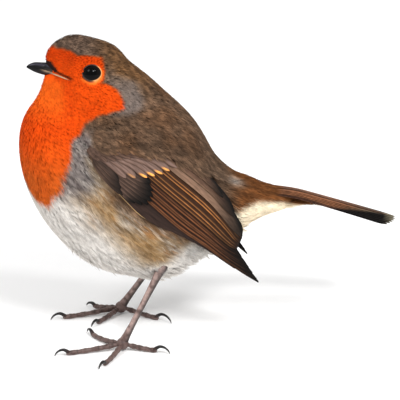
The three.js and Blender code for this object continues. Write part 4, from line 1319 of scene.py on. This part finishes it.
# Outer (lower) edges of the vanes on the folded wing, as (s, t): the highest and the lowest of each fan.
SECONDARY_EDGES = np.array([
    [(15, 11.3), (25, 12.0), (38, 12.1), (47, 11.4), (54, 10.2), (60.6, 8.3)],
    [(15, 5.2), (25, 5.6), (38, 5.7), (47, 5.5), (54, 5.1), (61.4, 5.0)]])
PRIMARY_EDGES = np.array([
    [(15, 4.5), (27, 4.8), (38, 4.8), (47, 4.6), (56, 4.2), (62.8, 4.6)],
    [(15, -0.9), (28, -0.6), (41, -0.7), (52, 0.1), (64, 0.2), (77.2, 0.5)]])
# Each fan: its count, edges, waver of its spacing, outer and inner web, lowest feather's height, colours, the
# share that its edges darken, brighten and repeat by, and its vanes' darkness, partly painted shade, and form.
FANS = [
    (7, PRIMARY_EDGES, (0.035, 4), 0.62, 2.4, 0.42, PRIMARY, PRIMARY_EDGE, (0.86, 5, 7), (0.5, 0.35, 0.65),
     {"tilt": 0.2, "tip": 0.34, "pointed": 0.4}, 0),
    (6, SECONDARY_EDGES, (0.04, 2.3), 0.8, 2.6, 0.7, SECONDARY, SECONDARY_EDGE, (0.8, 2, 5), (0.72, 0.35, 0.35),
     {"tilt": 0.2, "tip": 0.16, "pointed": 2.0}, 9),
]
# The outermost primary's broad grey web, with a pale edge near the wrist: its edge and its two webs.
LOW_VANE_EDGE = np.array([
    (9, -4.4), (20.6, -5.2), (28, -5.3), (34.4, -4.3), (39.2, -2.8), (46.5, -1.3), (53.2, -0.4), (66, 0.0)])
LOW_VANE_OUTER = [1.2, 1.6, 1.8, 1.5, 1.0, 0.7, 0.5, 0.3]
LOW_VANE_INNER = [2.0, 3.4, 3.6, 3.0, 2.2, 1.4, 0.9, 0.4]
# The upper two tertials take a darker base: painted shade under the mantle.
TERTIALS = [([(17, 12.6), (28, 13.9), (40, 13.9), (50, 12.7), (60.2, 9.9)], 1.9, 2.2, 0.95, TERTIAL),
            ([(18, 14.4), (30, 15.6), (43, 15.2), (53.8, 13.3)], 1.3, 2.0, 1.15, TERTIAL_PAINTED_SHADE),
            ([(20, 15.6), (30, 16.7), (38, 16.8), (46.4, 15.5)], 0.9, 1.2, 1.35, TERTIAL_PAINTED_SHADE)]
PRIMARY_COVERT_TIPS = [
    (22.6, 5.0), (24.8, 3.6), (26.2, 2.2), (26.9, 0.7), (26.8, -0.8), (25.4, -2.2), (23.2, -3.2)]
GREATER_TIPS = [(15.4, 1.2), (17.7, 3.2), (20.4, 5.7), (22, 7.6), (23.6, 9.7), (24.8, 11.8), (26.4, 14.2)]
GREATER_SPOTS = [0, 0.4, 1, 1, 1, 0.85, 0]
MEDIAN_TIPS = [(5.6, -0.6), (7.6, 1.0), (9.4, 3.0), (10.8, 4.8), (12.4, 6.8), (14.2, 8.8), (16.4, 10.8)]
LESSER_COUNT, ALULA_COUNT = 6, 3


def covert_shaft(tip, length, least, lower, bow):
    """A small covert's shaft to its tip, from a root nearer the wrist."""
    root = np.array([max(tip[0] - length, least), tip[1] * lower[0] - lower[1]])
    return [root, (root + tip) / 2 + [0, bow], tip]


for side, name in ((-1, "left"), (1, "right")):
    def place(s, t, raised, side=side):
        # The upper ends lie in under the mantle's feathers.
        level = wing_level(s, t) + (raised - 0.9 * np.clip(t - mantle_edge(s) + 0.2, 0, 3))
        return sheet_place(WRIST, WING_WAY, s, t, side * level)

    flight = Gather()
    line = LOW_VANE_EDGE + np.stack([np.zeros(8), LOW_VANE_OUTER], 1)
    vane(flight, place, line, LOW_VANE_OUTER, LOW_VANE_INNER, 0.3,
         vane_colour(LOW_VANE, EDGE_CREAM, 0.95, 0.75, 0.4, edge_until=0.35), tilt=0.06)
    for count, edges, waver, outer, inner, height, base, edge, (least, step, cycle), tones, shape, seed in FANS:
        for i in range(count):
            share = i / (count - 1) + waver[0] * math.sin(waver[1] * i)
            line = lerp(*edges, share) + [0, outer]
            own_edge = edge * (least + 0.3 * (i * step % cycle) / (cycle - 1))
            vane(flight, place, line, outer, inner, height + 0.02 * (count - 1 - i),
                 vane_colour(base, own_edge, *tones), seed=i + seed, **shape)
    # The tertials' inner webs and tips are painted almost black: painted shade where they overlap each other and lie
    # under the mantle.
    for i, (shaft, outer, inner, height, base) in enumerate(TERTIALS):
        vane(flight, place, shaft, outer, inner, height, vane_colour(base, TERTIAL_EDGE, 0.93, 0.2, 0.7),
             tilt=0.1, tip=0.28, pointed=1.2, seed=i + 20)
    piece = flight.build(f"wing_{name}_flight", [VANE_MATERIAL])
    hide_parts(f"wing_{name}_primaries", f"wing_{name}_secondaries")

    cover = Gather()
    for i, tip in enumerate(PRIMARY_COVERT_TIPS):
        share = i / (len(PRIMARY_COVERT_TIPS) - 1)
        vane(cover, place, [(9, lerp(2.0, -3.0, share)), (17, lerp(3.4, -3.2, share)), tip], 0.9, 1.6, 0.95,
             vane_colour(CARPAL, CARPAL_EDGE, 0.86, 0.6, 0.86), tip=0.35, seed=i + 30)
    for i in range(ALULA_COUNT):
        shaft = [(3.0, -1.0 + 0.2 * i), (9, -3.0 + 1.1 * i), (18.5 - 2.0 * i, -3.9 + 1.3 * i)]
        vane(cover, place, shaft, 1.0, 1.3, 1.15 + 0.08 * i, vane_colour(CARPAL, ALULA_EDGE, 0.92, 0.6, 0.5),
             tip=0.35, seed=i + 40)
    for i, ((s, t), spot) in enumerate(zip(GREATER_TIPS, GREATER_SPOTS)):
        vane(cover, place, [(s - 14.5, t * 0.66 - 0.6), (s - 7, t * 0.93 + 0.1), (s, t)], 1.15, 1.7, 1.2,
             vane_colour(GREATER, GREATER_EDGE, 0.84, 0.75, spot=spot), seed=i + 50)
    for i, tip in enumerate(np.array(MEDIAN_TIPS)):
        vane(cover, place, covert_shaft(tip, 7, 0.8, (0.72, 0.4), 0.3), 1.1, 1.5, 1.35,
             vane_colour(LESSER, MEDIAN_EDGE, 0.84, 0.8), tip=0.5, pointed=0.6, seed=i + 60)
    for i in range(LESSER_COUNT):
        tip = np.array([3.6 + 1.2 * i, lerp(-0.6, 6.4, i / 5)])
        vane(cover, place, covert_shaft(tip, 4.5, 0.6, (0.7, 0.1), 0.2), 0.9, 1.1, 1.5,
             vane_colour(LESSER, LESSER_EDGE, 0.93, 0.85), tip=0.55, pointed=0.6, seed=i + 70)
    piece = cover.build(f"wing_{name}_cover", [VANE_MATERIAL])
    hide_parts(f"wing_{name}_coverts")

# ---- tail
TAIL_ROOT, TAIL_TIP = np.array([20, 51.5]), np.array([66.6, 36])
TAIL_WAY = (TAIL_TIP - TAIL_ROOT) / float(np.linalg.norm(TAIL_TIP - TAIL_ROOT))
TAIL_COLOUR, TAIL_DARK, TAIL_PAINTED_SHADOW, TAIL_OLIVE = rgb(120, 79, 56), rgb(52, 36, 30), rgb(15, 13, 13), rgb(134, 126, 104)
TAIL_EDGE, TAIL_OUTER_EDGE = rgb(128, 84, 58), rgb(70, 46, 36)
TAIL_CAMBER = 0.02
TAIL_PAIRS = 6


def tail_colour(j):
    """Rufous brown, with black outer webs that widen towards the end, painted shadow that stands for the tail's shaded
    under side, and an olive tip.
    """
    base = mix(TAIL_COLOUR, TAIL_DARK, 0.1 * j)
    plain = vane_colour(base, TAIL_EDGE if j < 4 else TAIL_OUTER_EDGE, 0.85, 0.7, 0.3)

    def colour(u, c, plan):
        along, out = plan[:, 0], -plan[:, 1]
        speck = hash_noise(np.stack([along * 0.6, out, np.full(len(u), j)], 1), 0.8, 6)
        past_edge = out - lerp(6.2, 1.2, (along - 17) / 26)
        # Painted shadow: the black on the outer webs stands for the under side of the tail in shade.
        painted_shadow = smooth(-0.4, 0.4, past_edge) * smooth(14, 19, along)
        dusky = lerp(1, 0.86, smooth(24, 42, along))
        shade = plain(u, c, plan) * ((0.75 + 0.5 * speck) * dusky)[:, None]
        shade = mix(shade, TAIL_OLIVE, 0.5 * smooth(-1.5, -0.5, past_edge) * smooth(26, 40, along))
        shade = mix(shade, TAIL_PAINTED_SHADOW, 0.95 * painted_shadow)
        return mix(shade, TAIL_OLIVE, 0.85 * smooth(45.4, 47.6, along + 0.15 * out))

    return colour


tail = Gather()
for j in reversed(range(TAIL_PAIRS)):
    end = 49.1 - 0.13 * j * j, -(0.35 + 0.9 * j)
    shaft = [(-8, -0.3 - 0.35 * j), (10, -0.4 - 0.5 * j), (30, -0.45 - 0.68 * j), end]
    for side in (-1, 1):
        def place(s, t, raised, side=side):
            # The root lies in under the coverts.
            high = raised - TAIL_CAMBER * t**2 - 1.8 * smooth(16, -2, s)
            return sheet_place(TAIL_ROOT, TAIL_WAY, s, high, -side * t)

        vane(tail, place, shaft, lerp(1.9, 1.15, j / 5), 2.4 if j else 1.6, 0.95 - 0.27 * j + (0.1 if side > 0 else 0),
             tail_colour(j), tilt=-0.05, tip=0.1, pointed=0.6, seed=j)
piece = tail.build("tail_feathers", [VANE_MATERIAL])
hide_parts("tail")

# ---- floor, light, camera
# the floor's reach from the middle, in metres
FLOOR_REACH, FLOOR_GREY, FLOOR_ROUGHNESS, WORLD_LIGHT = 3, 0.93, 0.9, 0.75
FLOOR_CORNERS = [(x * FLOOR_REACH, y * FLOOR_REACH, 0) for x, y in ((-1, -1), (1, -1), (1, 1), (-1, 1))]
scene = bpy.context.scene
floor = bpy.data.meshes.new("floor")
floor.from_pydata(FLOOR_CORNERS, [], [(0, 1, 2, 3)])
floor_piece = bpy.data.objects.new("floor", floor)
scene.collection.objects.link(floor_piece)
floor_material = bpy.data.materials.new("pale_floor")
floor_material.use_nodes = True
floor_shader = floor_material.node_tree.nodes["Principled BSDF"]
floor_shader.inputs["Base Color"].default_value = (FLOOR_GREY, FLOOR_GREY, FLOOR_GREY, 1)
floor_shader.inputs["Roughness"].default_value = FLOOR_ROUGHNESS
floor.materials.append(floor_material)
floor_piece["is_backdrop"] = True

world = bpy.data.worlds.new("studio")
world.use_nodes = True
world.node_tree.nodes["Background"].inputs["Color"].default_value = (1, 1, 1, 1)
world.node_tree.nodes["Background"].inputs["Strength"].default_value = WORLD_LIGHT
scene.world = world
scene.view_settings.view_transform = "Standard"
LIGHTS_AIM = Vector((0, 0, 0.05))


def aimed(name, data, place, direction):
    """A light or camera at a place in metres, looking in a direction."""
    item = bpy.data.objects.new(name, data)
    item.location = place
    item.rotation_mode = "QUATERNION"
    item.rotation_quaternion = direction.to_track_quat("-Z", "Y")
    scene.collection.objects.link(item)
    return item


# name, place and width in metres, and watts
for name, place, size, power in (("key", (0.3, -0.8, 0.95), 0.28, 8.4), ("fill", (-0.7, -0.45, 0.95), 0.5, 5),
                                 ("rim", (0.7, -0.5, 1.0), 0.2, 3.5)):
    lamp = bpy.data.lights.new(name, "AREA")
    lamp.shape, lamp.size, lamp.energy = "DISK", size, power
    aimed(name, lamp, place, LIGHTS_AIM - Vector(place))

CAMERA_ELEVATION, CAMERA_AZIMUTH, CAMERA_DISTANCE = 20.0, -7.0, 600.0
CAMERA_TARGET = np.array([0.0, 0.0, 46.0])
PIXELS, MM_PER_PIXEL, SENSOR = 400, 0.335, 36.0
elevation, azimuth = math.radians(CAMERA_ELEVATION), math.radians(CAMERA_AZIMUTH)
level = math.cos(elevation)
behind = np.array([math.sin(azimuth) * level, -math.cos(azimuth) * level, math.sin(elevation)])
lens = bpy.data.cameras.new("camera")
lens.sensor_width = SENSOR
lens.lens = CAMERA_DISTANCE / MM_PER_PIXEL / PIXELS * SENSOR
lens.clip_start, lens.clip_end = 0.01, 20
scene.camera = aimed("camera", lens, metres(CAMERA_TARGET + CAMERA_DISTANCE * behind), Vector(-behind))

# ---- finish
low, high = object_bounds()
